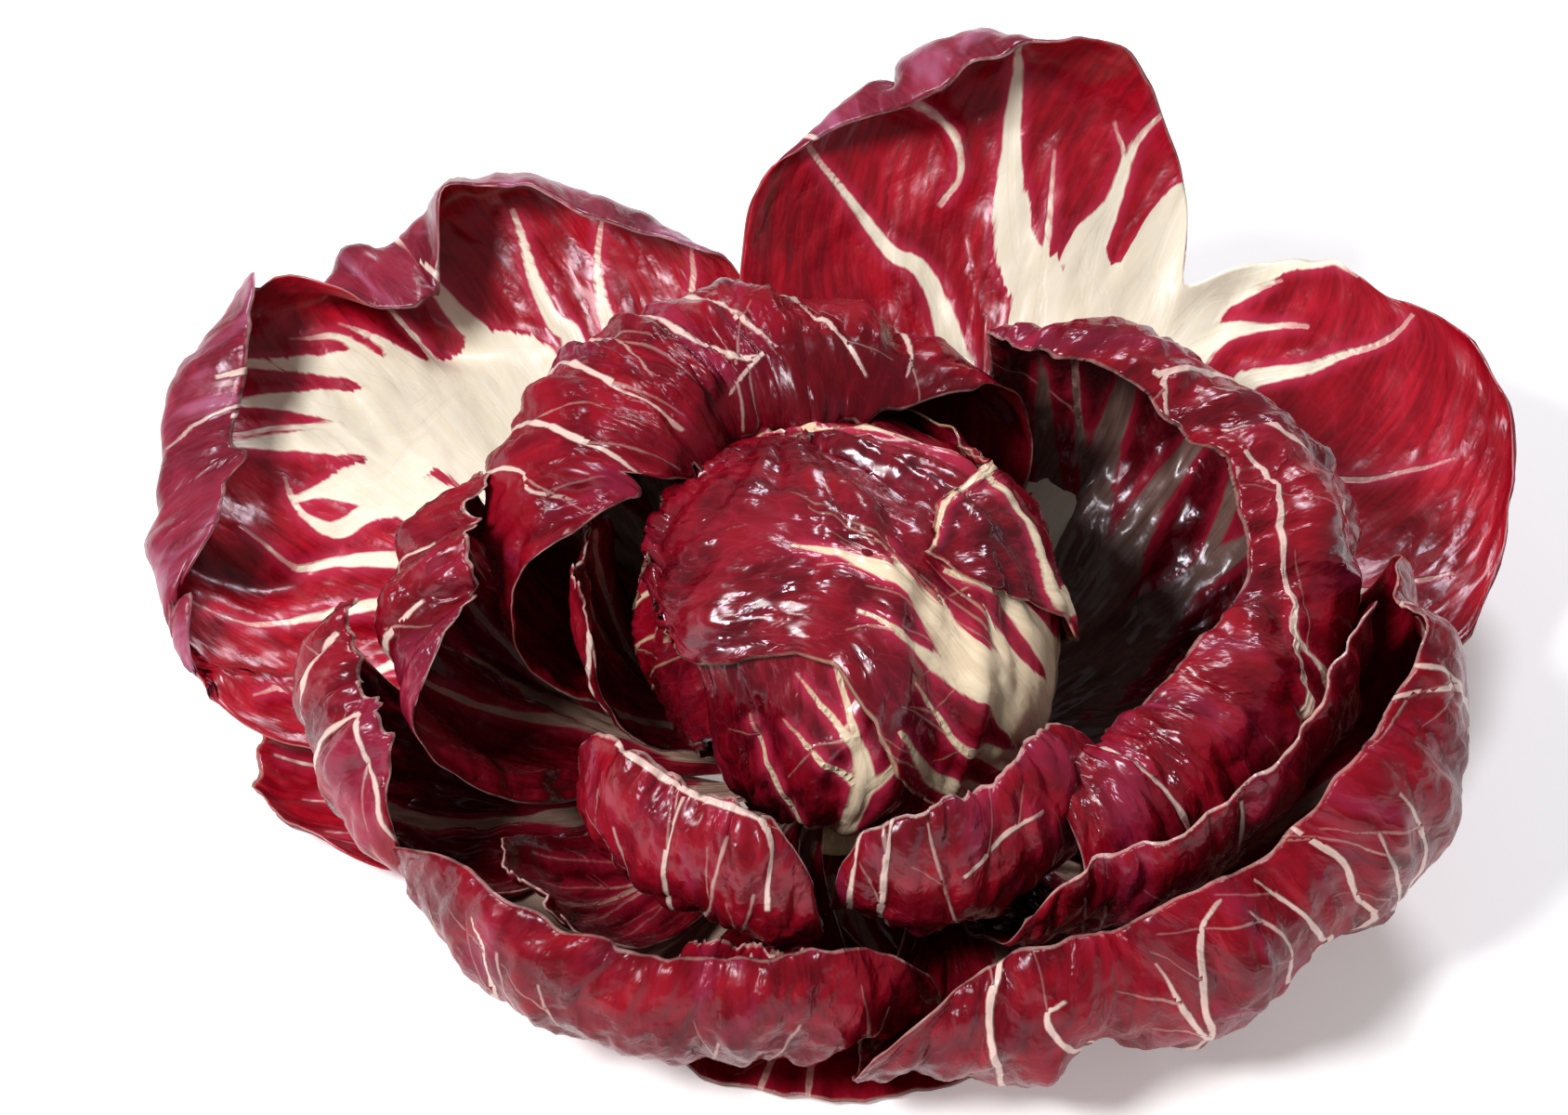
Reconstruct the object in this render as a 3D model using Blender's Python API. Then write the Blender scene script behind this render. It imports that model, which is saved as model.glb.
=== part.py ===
# A radicchio head with its outer leaves opened out, standing on its cut stump.
# Metres, +Z up, origin at the middle of the stump's cut face; -Y is the side that shows the heart.
# Lengths in the tables below are millimetres, and angles are degrees; MM turns them into metres.

import math

import bmesh
import bpy
import numpy as np

MM = 0.001

# Blade and rib thickness, and how wide and how long the thick part of a rib is
BLADE = 0.9
RIB_EXTRA = 1.3
RIB_WIDTH = 0.3
RIB_FADE = 1.4

# How finely a leaf is cut into faces, as (rows, columns), and how finely its profile is worked out
OUTER_GRID = (13, 15)
CUPPED_GRID = (11, 11)
INNER_GRID = (9, 9)
HEART_GRID = (12, 9)
PROFILE_STEPS = 96

# Half width of a notch, as a share of the leaf's half width
NOTCH_WIDTH = 0.11

# The stump, as a turned outline from the cut face up: (radius, height)
STUMP_OUTLINE = [
    (15.5, 0.0), (17.6, 1.6), (18.2, 4.0), (17.6, 9.0), (15.6, 15.0),
    (12.4, 20.0), (10.7, 23.0), (8.8, 30.5), (7.6, 31.7),
]
STUMP_SIDES = 32

# Gap between a leaf's base and the stump
SEAT_GAP = 0.45

# Opened and cupped leaves. Each has a seat (the height of its base on the stump) and three or
# more columns, from its low azimuth side to its high one:
# (azimuth, rise at the base, rise halfway, rise at the tip, length). Azimuth turns left from +X,
# and a rise over 90 leans back towards the stump's axis.
# widest, base and tip shape the outline; lobes and notch lengthen and cut its margin;
# curl is (rise added, where it starts); ruffles are (height, waves across, phase) of the margin,
# and folds the same for the whole blade.
OUTER_LEAVES = {
    "outer_leaf_back_left": dict(
        seat=7.0, columns=[(98, 16, 38, 52, 126), (141, 8, 22, 34, 162), (182, 5, 11, 26, 147)],
        widest=0.66, base=0.34, tip=0.7, lobes=4, curl=(100, 0.82), ruffles=(3, 3, 120), folds=(3, 2.5, 10),
    ),
    "outer_leaf_left": dict(
        seat=3.5, columns=[(160, -1, 3, 16, 108), (178, -1, 2, 12, 114), (196, -1, 4, 12, 102)],
        widest=0.66, base=0.34, tip=0.62, curl=(30, 0.85), ruffles=(1.5, 2, 40), folds=(0.6, 2, 10),
    ),
    "outer_leaf_back_right": dict(
        seat=8.0, columns=[
            (6, 4, 9, 14, 152), (29, 8, 15, 12, 148), (52, 11, 28, 28, 140), (77, 13, 43, 54, 148),
            (104, 11, 44, 64, 132),
        ],
        widest=0.64, base=0.34, tip=0.66, lobes=22, notch=11, curl=(30, 0.84),
        ruffles=(3, 3, 200), folds=(3, 2, 90),
    ),
    "outer_leaf_front_right": dict(
        seat=9.0, columns=[
            (-88, 6, 13, 155, 107), (-62, 4, 14, 155, 123), (-36, 2, 15, 155, 150),
            (-12, 2, 20, 155, 176), (10, 9, 28, 138, 152),
        ],
        widest=0.6, base=0.3, tip=0.86, ruffles=(2, 4, 0), folds=(1, 3, 30),
    ),
    "outer_leaf_front_left": dict(
        seat=11.8, columns=[(203, 0, 9, 145, 122), (231, 2, 10, 150, 120), (258, 4, 11.5, 155, 107), (286, 6, 17, 155, 90)],
        widest=0.6, base=0.34, tip=0.86, ruffles=(1.5, 2, 0), folds=(0.5, 2, 0),
    ),
    "outer_leaf_front": dict(
        seat=2.9, columns=[(232, -1, -0.5, 3, 67), (260, -1, -0.5, 3, 72), (284, -1, -0.5, 3, 68)],
        widest=0.6, base=0.34, tip=0.7, ruffles=(0.6, 2, 0),
    ),
}
CUPPED_LEAVES = {
    "hood_leaf_back": dict(
        seat=13.5, columns=[(43, 34, 64, 215, 140), (100, 34, 62.5, 250, 158), (180, 32, 66, 220, 142)],
        widest=0.5, base=0.34, tip=0.9, ruffles=(2, 2, 0), folds=(1, 2, 0),
    ),
    "hood_leaf_right": dict(
        seat=14.0, columns=[
            (-52, 8, 42, 185, 118), (-20, 12, 45, 208, 154), (16, 17, 47.5, 206, 167), (48, 22, 60, 202, 144),
        ],
        widest=0.5, base=0.34, tip=0.9, ruffles=(2, 3, 0), folds=(1, 2, 0),
    ),
    "cup_leaf_right": dict(
        seat=11.8, columns=[(-62, 3, 30, 112, 88), (-34, 4, 26, 112, 118), (2, 10, 30, 120, 144)],
        widest=0.5, base=0.34, tip=0.85, ruffles=(1, 3, 0), folds=(0.5, 2, 0),
    ),
    "cup_leaf_left": dict(
        seat=12.4, columns=[(154, 12, 42, 88, 104), (176, 8, 42, 95, 122), (200, 4, 38, 100, 112)],
        widest=0.5, base=0.34, tip=0.7, ruffles=(2, 2, 0), folds=(1, 2, 0),
    ),
    "cup_leaf_lower_left": dict(
        seat=9.6, columns=[(176, 2, 28, 120, 132), (190, 1, 20, 140, 142), (205, 1, 20, 135, 124)],
        widest=0.5, base=0.34, tip=0.8, curl=(30, 0.8), ruffles=(2, 2, 0), folds=(1, 2, 0),
    ),
}
INNER_LEAVES = {
    "inner_leaf_left": dict(
        seat=16.6, columns=[(160, 26, 62, 100, 82), (178, 24, 60, 100, 84), (198, 20, 56, 100, 78)],
        widest=0.5, base=0.34, tip=0.8, ruffles=(1.5, 2, 0), folds=(1, 2, 0),
    ),
    "inner_leaf_front_left": dict(
        seat=17.2, columns=[(214, 10, 44, 130, 90), (242, 10, 38, 150, 104), (266, 10, 38, 140, 94)],
        widest=0.5, base=0.34, tip=0.9, ruffles=(1.5, 2, 0), folds=(1, 2, 0),
    ),
    "inner_leaf_front_curl": dict(
        seat=14.4, columns=[(204, 0, 14, 60, 74), (221, 0, 10, 70, 77), (236, 0, 10, 60, 72)],
        widest=0.5, base=0.34, tip=0.8, ruffles=(1, 2, 0), folds=(0.5, 2, 0),
    ),
    "inner_leaf_front": dict(
        seat=14.6, columns=[(242, 3, 9, 120, 80), (256, 3, 8, 130, 84), (272, 3, 9, 120, 78)],
        widest=0.5, base=0.34, tip=0.8, ruffles=(1, 2, 0), folds=(0.5, 2, 0),
    ),
    "inner_leaf_front_right": dict(
        seat=17.2, columns=[(268, 8, 42, 120, 88), (297, 8, 38, 155, 100), (329, 12, 44, 160, 88)],
        widest=0.5, base=0.34, tip=0.9, ruffles=(1.5, 2, 0), folds=(1, 2, 0),
    ),
}

# The heart: an egg of leaves wrapped over a closed bud. Each leaf lies on a shell of its own:
# (azimuth of its base, shell radius, how far round it reaches from straight down, half width)
HEART_CENTRE = (-1.0, -2.0, 61.0)
HEART_SQUASH = 0.86
HEART_SPREAD = dict(widest=0.55, base=0.22, tip=0.35)
HEART_LEAVES = {
    "heart_leaf_back": (48, 50.6, 196, 58),
    "heart_leaf_right": (-22, 48.0, 232, 64),
    "heart_leaf_front": (-95, 45.4, 190, 60),
    "heart_leaf_left": (175, 42.8, 200, 66),
    "heart_leaf_back_left": (110, 40.2, 190, 62),
}
HEART_SEAT_GAP = 0.9
BUD_RADIUS = 37.0
BUD_HALF_HEIGHT = 30.2
BUD_BOTTOM = 32.0
BUD_SIDES = 20
BUD_RINGS = 10

# Colours are linear red, green, blue; then roughness
LOOKS = {
    "outer_leaf": ((0.30, 0.012, 0.030), 0.42),
    "cupped_leaf": ((0.24, 0.022, 0.050), 0.40),
    "heart_leaf": ((0.20, 0.010, 0.028), 0.34),
    "stump": ((0.78, 0.68, 0.48), 0.60),
}


def clear_scene():
    for thing in list(bpy.data.objects):
        bpy.data.objects.remove(thing, do_unlink=True)


def make_material(name):
    colour, roughness = LOOKS[name]
    material = bpy.data.materials.new(name)
    material.use_nodes = True
    shader = material.node_tree.nodes["Principled BSDF"]
    shader.inputs["Base Color"].default_value = (*colour, 1.0)
    shader.inputs["Roughness"].default_value = roughness
    shader.inputs["Metallic"].default_value = 0.0
    return material


def smooth(x):
    x = np.clip(x, 0.0, 1.0)
    return x * x * (3.0 - 2.0 * x)


def stump_radius(height):
    radii, heights = zip(*STUMP_OUTLINE)
    return float(np.interp(height, heights, radii))


def across(values, a):
    """A smooth curve through values set at equal steps of a, from -1 to 1."""
    if len(values) == 3:
        low, middle, high = values
        return middle + (high - low) / 2 * a + ((high + low) / 2 - middle) * a * a
    ends = [2 * values[0] - values[1], *values, 2 * values[-1] - values[-2]]
    v = np.array(ends, float)
    x = (a + 1) / 2 * (len(values) - 1)
    i = np.clip(x.astype(int), 0, len(values) - 2)
    f = x - i
    p0, p1, p2, p3 = v[i], v[i + 1], v[i + 2], v[i + 3]
    bend = (2 * p0 - 5 * p1 + 4 * p2 - p3) * f**2 + (3 * p1 - p0 - 3 * p2 + p3) * f**3
    return 0.5 * (2 * p1 + (p2 - p0) * f + bend)


def spread_along(s, widest, base, tip):
    """The share of a leaf's full width at s, from its base (0) to its tip (1)."""
    rising = base + (1 - base) * smooth(s / widest)
    past = np.clip((s - widest) / (1 - widest), 0.0, 1.0)
    falling = np.sqrt(1 - (1 - tip**2) * past**2)
    return np.where(s < widest, rising, falling)


def wave(settings, a, shift=0.0):
    height, waves, phase = settings
    return height * np.sin(waves * math.pi * a + math.radians(phase) + shift)


def bowl_leaf_points(leaf, a, t):
    """Middle surface of an opened or cupped leaf: one curved profile for each a, cut at each t."""
    columns = zip(*leaf["columns"])
    azimuth, base_rise, half_rise, tip_rise, length = [across(values, a) for values in columns]
    middle = across([column[0] for column in leaf["columns"]], np.zeros(1))[0]
    length = length + leaf.get("lobes", 0) * np.abs(np.sin(math.pi * a))
    length = length - leaf.get("notch", 0) * np.exp(-((a / NOTCH_WIDTH) ** 2))

    s = np.linspace(0, 1, PROFILE_STEPS + 1)[:, None]
    rise = base_rise * (1 - s) * (1 - 2 * s) + half_rise * 4 * s * (1 - s) + tip_rise * s * (2 * s - 1)
    curl, curl_start = leaf.get("curl", (0, 0.8))
    rise = np.radians(rise + curl * np.clip((s - curl_start) / (1 - curl_start), 0, 1) ** 1.5)
    step = length / PROFILE_STEPS
    start = np.zeros((1, len(a)))
    out = np.cos(rise) * step
    up = np.sin(rise) * step
    radius = np.vstack([start, np.cumsum((out[1:] + out[:-1]) / 2, 0)])
    height = np.vstack([start, np.cumsum((up[1:] + up[:-1]) / 2, 0)])
    half = (BLADE + RIB_EXTRA) / 2
    radius += max(stump_radius(leaf["seat"] - half), stump_radius(leaf["seat"] + half)) + SEAT_GAP
    height += leaf["seat"]

    ruffle = s**3 * wave(leaf["ruffles"], a, 1.5 * s)
    fold = np.sin(math.pi * s) ** 2 * wave(leaf.get("folds", (0, 1, 0)), a)
    radius -= np.sin(rise) * (ruffle + fold)
    height += np.cos(rise) * (ruffle + fold)

    spread = spread_along(s, leaf["widest"], leaf["base"], leaf["tip"])
    phi = np.radians(middle + (azimuth - middle) * spread)
    points = np.stack([radius * np.cos(phi), radius * np.sin(phi), height], -1)
    x = t * PROFILE_STEPS
    i = np.clip(x.astype(int), 0, PROFILE_STEPS - 1)
    f = (x - i)[:, None, None]
    return points[i] * (1 - f) + points[i + 1] * f


def heart_base_angle(radius):
    """Where a heart shell meets the stump, as an angle from straight down."""
    angle = math.radians(14)
    for _ in range(12):
        height = HEART_CENTRE[2] - HEART_SQUASH * radius * math.cos(angle)
        angle = math.asin((stump_radius(height) + HEART_SEAT_GAP) / radius)
    return angle


def heart_leaf_points(leaf, a, t):
    """Middle surface of a heart leaf, wrapped over its shell along a great circle."""
    azimuth, radius, reach, half_width = leaf
    phi = math.radians(azimuth)
    first = heart_base_angle(radius)
    along = (first + (math.radians(reach) - first) * t)[:, None, None]
    side = np.radians(half_width * spread_along(t[:, None], **HEART_SPREAD) * a[None, :])[..., None]
    outward = np.array([math.cos(phi), math.sin(phi), 0.0])
    sideways = np.array([-math.sin(phi), math.cos(phi), 0.0])
    down = np.array([0.0, 0.0, -1.0])
    spine = np.sin(along) * outward + np.cos(along) * down
    points = (np.cos(side) * spine + np.sin(side) * sideways) * radius
    # The bottom stays round the stump's axis and the rest leans to the heart's centre
    lean = smooth((points[..., 2] / radius + 1) / 1.2)
    points[..., 0] += HEART_CENTRE[0] * lean
    points[..., 1] += HEART_CENTRE[1] * lean
    points[..., 2] = points[..., 2] * HEART_SQUASH + HEART_CENTRE[2]
    return points


def leaf_object(name, points, a, t, material):
    """A leaf blade from a grid of points: triangles on both faces, thicker along its midrib."""
    rows, columns = points.shape[:2]
    faces = []
    for i in range(rows - 1):
        for j in range(columns - 1):
            corner = i * columns + j
            across_corner = corner + columns + 1
            faces.append((corner, corner + 1, across_corner))
            faces.append((corner, across_corner, corner + columns))
    mesh = bpy.data.meshes.new(name)
    mesh.from_pydata((points.reshape(-1, 3) * MM).tolist(), [], faces)
    mesh.shade_smooth()
    leaf = bpy.data.objects.new(name, mesh)
    bpy.context.scene.collection.objects.link(leaf)
    rib = leaf.vertex_groups.new(name="rib")
    share = np.exp(-((a[None, :] / RIB_WIDTH) ** 2)) * (1 - t[:, None]) ** RIB_FADE
    for index, weight in enumerate(share.ravel()):
        rib.add([index], float(weight), "REPLACE")
    shell = leaf.modifiers.new("blade", "SOLIDIFY")
    shell.thickness = (BLADE + RIB_EXTRA) * MM
    shell.offset = 0.0
    shell.vertex_group = rib.name
    shell.thickness_vertex_group = BLADE / (BLADE + RIB_EXTRA)
    mesh.materials.append(material)
    return leaf


def add_leaves():
    looks = {name: make_material(name) for name in ("outer_leaf", "cupped_leaf", "heart_leaf")}
    kinds = (
        (OUTER_LEAVES, OUTER_GRID, bowl_leaf_points, "outer_leaf"),
        (CUPPED_LEAVES, CUPPED_GRID, bowl_leaf_points, "cupped_leaf"),
        (INNER_LEAVES, INNER_GRID, bowl_leaf_points, "cupped_leaf"),
        (HEART_LEAVES, HEART_GRID, heart_leaf_points, "heart_leaf"),
    )
    for table, (rows, columns), points, look in kinds:
        a = np.linspace(-1, 1, columns)
        t = np.linspace(0, 1, rows)
        for name, leaf in table.items():
            leaf_object(name, points(leaf, a, t), a, t, looks[look])


def add_stump():
    """The cut stalk: its outline turned about the axis, with a flat cut face and a flat top."""
    shape = bmesh.new()
    outline = [shape.verts.new((radius * MM, 0.0, height * MM)) for radius, height in STUMP_OUTLINE]
    edges = [shape.edges.new(pair) for pair in zip(outline, outline[1:])]
    bmesh.ops.spin(
        shape, geom=outline + edges, cent=(0, 0, 0), axis=(0, 0, 1), dvec=(0, 0, 0),
        angle=math.tau, steps=STUMP_SIDES, use_merge=True, use_duplicate=False,
    )
    bmesh.ops.holes_fill(shape, edges=shape.edges, sides=0)
    bmesh.ops.recalc_face_normals(shape, faces=shape.faces)
    mesh = bpy.data.meshes.new("stump")
    shape.to_mesh(mesh)
    shape.free()
    mesh.shade_smooth()
    mesh.set_sharp_from_angle(angle=math.radians(30))
    mesh.materials.append(make_material("stump"))
    bpy.context.scene.collection.objects.link(bpy.data.objects.new("stump", mesh))


def add_bud():
    """The tight innermost leaves, closed into one egg on the stump's top."""
    shape = bmesh.new()
    bmesh.ops.create_uvsphere(shape, u_segments=BUD_SIDES, v_segments=BUD_RINGS, radius=BUD_RADIUS * MM)
    centre = (HEART_CENTRE[0] * MM, HEART_CENTRE[1] * MM, (BUD_BOTTOM + BUD_HALF_HEIGHT) * MM)
    bmesh.ops.scale(shape, vec=(1, 1, BUD_HALF_HEIGHT / BUD_RADIUS), verts=shape.verts)
    bmesh.ops.translate(shape, vec=centre, verts=shape.verts)
    mesh = bpy.data.meshes.new("heart_bud")
    shape.to_mesh(mesh)
    shape.free()
    mesh.shade_smooth()
    mesh.materials.append(bpy.data.materials["heart_leaf"])
    bpy.context.scene.collection.objects.link(bpy.data.objects.new("heart_bud", mesh))


clear_scene()
add_stump()
add_leaves()
add_bud()
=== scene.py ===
# Radicchio head: fine leaf blades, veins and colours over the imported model.
# Lengths in the dictionaries are millimetres and angles are degrees. Across runs from -1 to 1 over a leaf,
# from its low azimuth side, and along from 0 at its base to 1 at its tip. A bowl-shaped leaf's columns are
# its (azimuth, rise at the base, rise halfway, rise at the tip, length) at even steps across.
import math

import bpy
import numpy as np
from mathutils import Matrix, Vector, kdtree


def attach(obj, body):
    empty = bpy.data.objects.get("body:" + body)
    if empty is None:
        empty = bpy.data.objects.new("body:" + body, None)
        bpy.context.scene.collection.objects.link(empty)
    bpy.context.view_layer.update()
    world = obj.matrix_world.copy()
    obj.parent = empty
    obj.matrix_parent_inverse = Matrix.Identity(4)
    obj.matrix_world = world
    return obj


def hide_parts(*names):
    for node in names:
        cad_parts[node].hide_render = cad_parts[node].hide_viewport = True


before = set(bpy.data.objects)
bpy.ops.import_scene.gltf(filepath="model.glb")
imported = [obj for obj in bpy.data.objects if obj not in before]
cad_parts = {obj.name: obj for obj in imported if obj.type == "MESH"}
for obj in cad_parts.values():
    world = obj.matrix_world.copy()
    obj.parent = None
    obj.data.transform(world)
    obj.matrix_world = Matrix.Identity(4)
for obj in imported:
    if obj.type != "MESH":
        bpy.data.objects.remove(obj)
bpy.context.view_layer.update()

mm = 0.001

# small helpers


def paint(red, green, blue):
    # screen colour, 0 to 255, as Blender's linear colour
    parts = [c / 255 for c in (red, green, blue)]
    return tuple(c / 12.92 if c <= 0.04045 else ((c + 0.055) / 1.055) ** 2.4 for c in parts) + (1.0,)


def smooth(x):
    x = np.clip(x, 0.0, 1.0)
    return x * x * (3.0 - 2.0 * x)


def corner(ix, iy, seed):
    # a fixed random number, -1 to 1, for each whole-number place
    n = (ix * 374761393 + iy * 668265263 + seed * 144269504) & 0xFFFFFFFF
    n = ((n ^ (n >> 13)) * 1274126177) & 0xFFFFFFFF
    return ((n ^ (n >> 16)) & 0xFFFFFF) / 0x7FFFFF - 1.0


def softNoise(x, y, seed):
    x, y = np.broadcast_arrays(np.asarray(x, float), np.asarray(y, float))
    ix, iy = np.floor(x).astype(np.int64), np.floor(y).astype(np.int64)
    fx, fy = smooth(x - ix), smooth(y - iy)
    low = corner(ix, iy, seed) * (1 - fx) + corner(ix + 1, iy, seed) * fx
    high = corner(ix, iy + 1, seed) * (1 - fx) + corner(ix + 1, iy + 1, seed) * fx
    return low * (1 - fy) + high * fy


def layeredNoise(x, y, seed, layers=3):
    return sum(softNoise(x * 2.03**k, y * 2.03**k, seed + 17 * k) / 2**k for k in range(layers)) / 1.6


def placed(name, data):
    # a new object in the scene
    made = bpy.data.objects.new(name, data)
    bpy.context.scene.collection.objects.link(made)
    return made


def newMaterial(name):
    material = bpy.data.materials.new(name)
    material.use_nodes = True
    return material, material.node_tree, material.node_tree.nodes["Principled BSDF"]


def addLayer(mesh, label, values, domain="POINT"):
    # a number or a vector for each point, corner or face of a mesh
    kind, slot = ("FLOAT_VECTOR", "vector") if values.shape[-1] == 3 else ("FLOAT", "value")
    layer = mesh.attributes.new(label, kind, domain)
    layer.data.foreach_set(slot, values.astype(np.float32).ravel())


# what a leaf has where its own dictionary doesn't say otherwise

plainLeaf = {
    # how wide it is along its length: where it is widest, and its base's and tip's share of that width
    "widest": 0.5, "base": 0.34, "tip": 0.8,
    # its margin: rounded corners, raggedness, (across, along) outline, tears as (across, width, depth)
    "corner": 0.16, "ragged": 0.012, "outline": ((-1, 1), (1, 1)), "tears": (),
    # extra length of its lobes, depth of the notch between them, margins of a heart leaf's low side
    "lobes": 0, "notch": 0, "lowSide": ((0, 1), (1, 1)),
    # degrees of curl and where it starts, and rolls as (across, half width, degrees, start, span)
    "curl": (0, 0.8), "rolls": (),
    # long waves as (height, waves, phase), short ones at the margin as (height, size)
    "folds": (0, 1, 0), "frill": (1.4, 9),
    # swell between its ribs, and creases as (line of (across, along), width, depth, darkness of the shade
    # painted into the fold)
    "quilt": 1.2, "creases": (),
    # ribs as lines of (across, along, half width), and natural ones: a midrib and (count, half width) sides
    "ribs": (), "natural": True, "midrib": True, "sideRibs": (4, 1.8), "twigs": 2,
    "backPaler": 4.0,  # how much narrower the cream of a rib is on the back
    "blade": {},
}

# the shape of a leaf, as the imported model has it

stumpOutline = [
    (15.5, 0.0), (17.6, 1.6), (18.2, 4.0), (17.6, 9.0), (15.6, 15.0),
    (12.4, 20.0), (10.7, 23.0), (8.8, 30.5), (7.6, 31.7),
]
leafBuild = {
    "halfBase": 1.1,  # half the blade's and rib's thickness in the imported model
    "seatGap": 0.45,
    "tuckIn": 2.4,  # how far a base reaches into the stump
    "profileSteps": 420,
    "profileReach": 1.06,
    "notchWidth": 0.11,
    "heartCentre": (-1.0, -2.0, 61.0),
    "heartSquash": 0.86,
    "heartGap": 0.9,
    "heartWidths": (0.55, 0.22, 0.35),
    "raggedSides": 0.03,
}


def stumpRadius(height):
    radii, heights = zip(*stumpOutline)
    return float(np.interp(height, heights, radii))


def across(values, a):
    if len(values) == 3:
        low, middle, high = values
        return middle + (high - low) / 2 * a + ((high + low) / 2 - middle) * a * a
    v = np.array([2 * values[0] - values[1], *values, 2 * values[-1] - values[-2]], float)
    x = (a + 1) / 2 * (len(values) - 1)
    i = np.clip(x.astype(int), 0, len(values) - 2)
    f = x - i
    p0, p1, p2, p3 = v[i], v[i + 1], v[i + 2], v[i + 3]
    bend = (2 * p0 - 5 * p1 + 4 * p2 - p3) * f**2 + (3 * p1 - p0 - 3 * p2 + p3) * f**3
    return 0.5 * (2 * p1 + (p2 - p0) * f + bend)


def widthAlong(s, widest, base, tip):
    rising = base + (1 - base) * smooth(s / widest)
    past = np.clip((s - widest) / (1 - widest), 0.0, 1.04)
    return np.where(s < widest, rising, np.sqrt(np.maximum(1 - (1 - tip**2) * past**2, 0.02)))


def waveOver(settings, a, shift=0.0):
    height, waves, phase = settings
    return height * np.sin(waves * math.pi * a + math.radians(phase) + shift)


def marginAlong(leaf, a):
    # where the margin lies along each column: rounded corners, ragged edge and tears
    seed = leaf["seed"]
    edge = np.interp(a, *zip(*leaf["outline"])) - leaf["corner"] * np.abs(a) ** 7
    ragged = leaf["ragged"]
    edge = edge + ragged * layeredNoise(a * 5.5, 0.0, seed + 3)
    edge = edge + 0.5 * ragged * softNoise(a * 15, 0.0, seed + 4)
    for place, width, depth in leaf["tears"]:
        edge = edge - depth * np.exp(-np.abs((a - place) / width) ** 1.4)
    return np.minimum(edge, leafBuild["profileReach"] - 0.02)


def bowlLeaf(leaf, a, t):
    seed = leaf["seed"]
    azimuth, baseRise, halfRise, tipRise, length = [across(values, a) for values in zip(*leaf["columns"])]
    middle = across([column[0] for column in leaf["columns"]], np.zeros(1))[0]
    length = length + leaf["lobes"] * np.abs(np.sin(math.pi * a))
    length = length - leaf["notch"] * np.exp(-((a / leafBuild["notchWidth"]) ** 2))

    steps = leafBuild["profileSteps"]
    s = np.linspace(0, leafBuild["profileReach"], steps + 1)[:, None]
    rise = baseRise * (1 - s) * (1 - 2 * s) + halfRise * 4 * s * (1 - s) + tipRise * s * (2 * s - 1)
    curl, curlStart = leaf["curl"]
    rise = rise + curl * np.clip((s - curlStart) / (1 - curlStart), 0, 1.1) ** 1.5
    for place, width, turn, start, span in leaf["rolls"]:
        share = np.exp(-(((a - place) / width) ** 4))
        rise = rise + turn * share * smooth((s - start) / span)
    rise = np.radians(rise)
    step = length * leafBuild["profileReach"] / steps
    start = np.zeros((1, len(a)))
    out, up = np.cos(rise) * step, np.sin(rise) * step
    radius = np.vstack([start, np.cumsum((out[1:] + out[:-1]) / 2, 0)])
    height = np.vstack([start, np.cumsum((up[1:] + up[:-1]) / 2, 0)])
    half = leafBuild["halfBase"]
    radius += max(stumpRadius(leaf["seat"] - half), stumpRadius(leaf["seat"] + half)) + leafBuild["seatGap"]
    radius -= leafBuild["tuckIn"] * np.clip(1 - s / 0.05, 0, 1)
    height += leaf["seat"]

    ruffle = s**3 * waveOver(leaf["ruffles"], a, 1.5 * s)
    fold = np.sin(math.pi * np.minimum(s, 1)) ** 2 * waveOver(leaf["folds"], a)
    frill, frillSize = leaf["frill"]
    fine = np.clip((s - 0.72) / 0.28, 0, 1.1) ** 2 * frill * layeredNoise(a * frillSize, s * 3, seed + 5, 2)
    lift = ruffle + fold + fine
    radius -= np.sin(rise) * lift
    height += np.cos(rise) * lift

    spread = widthAlong(s, leaf["widest"], leaf["base"], leaf["tip"])
    sides = layeredNoise(s * 7, np.sign(a) * 3, seed + 6) * leafBuild["raggedSides"]
    phi = np.radians(middle + (azimuth - middle) * spread * (1 + sides * np.abs(a) ** 5))
    points = np.stack([radius * np.cos(phi), radius * np.sin(phi), height], -1)

    along = t[:, None] * marginAlong(leaf, a)[None, :]
    x = along / leafBuild["profileReach"] * steps
    i = np.clip(x.astype(int), 0, steps - 1)
    f = (x - i)[..., None]
    column = np.arange(len(a))[None, :]
    return points[i, column] * (1 - f) + points[i + 1, column] * f, along


heartShape = {
    # dents and swells all its leaves share: azimuth, elevation, width, millimetres
    "swells": [(217, -5, 34, -6.5), (-60, -12, 30, 1.2), (20, 35, 26, 1.0), (150, 50, 30, -1.5),
               (-100, 45, 24, 0.8)],
    # its long folds: turns, reaches, millimetres, seed
    "folds": [(3.2, 1.1, 4.0, 61), (7.0, 2.4, 1.9, 62), (3.0, 6.0, 1.2, 63)],
    "flare": 1.8, "flareWidth": 9.0,
}


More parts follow.
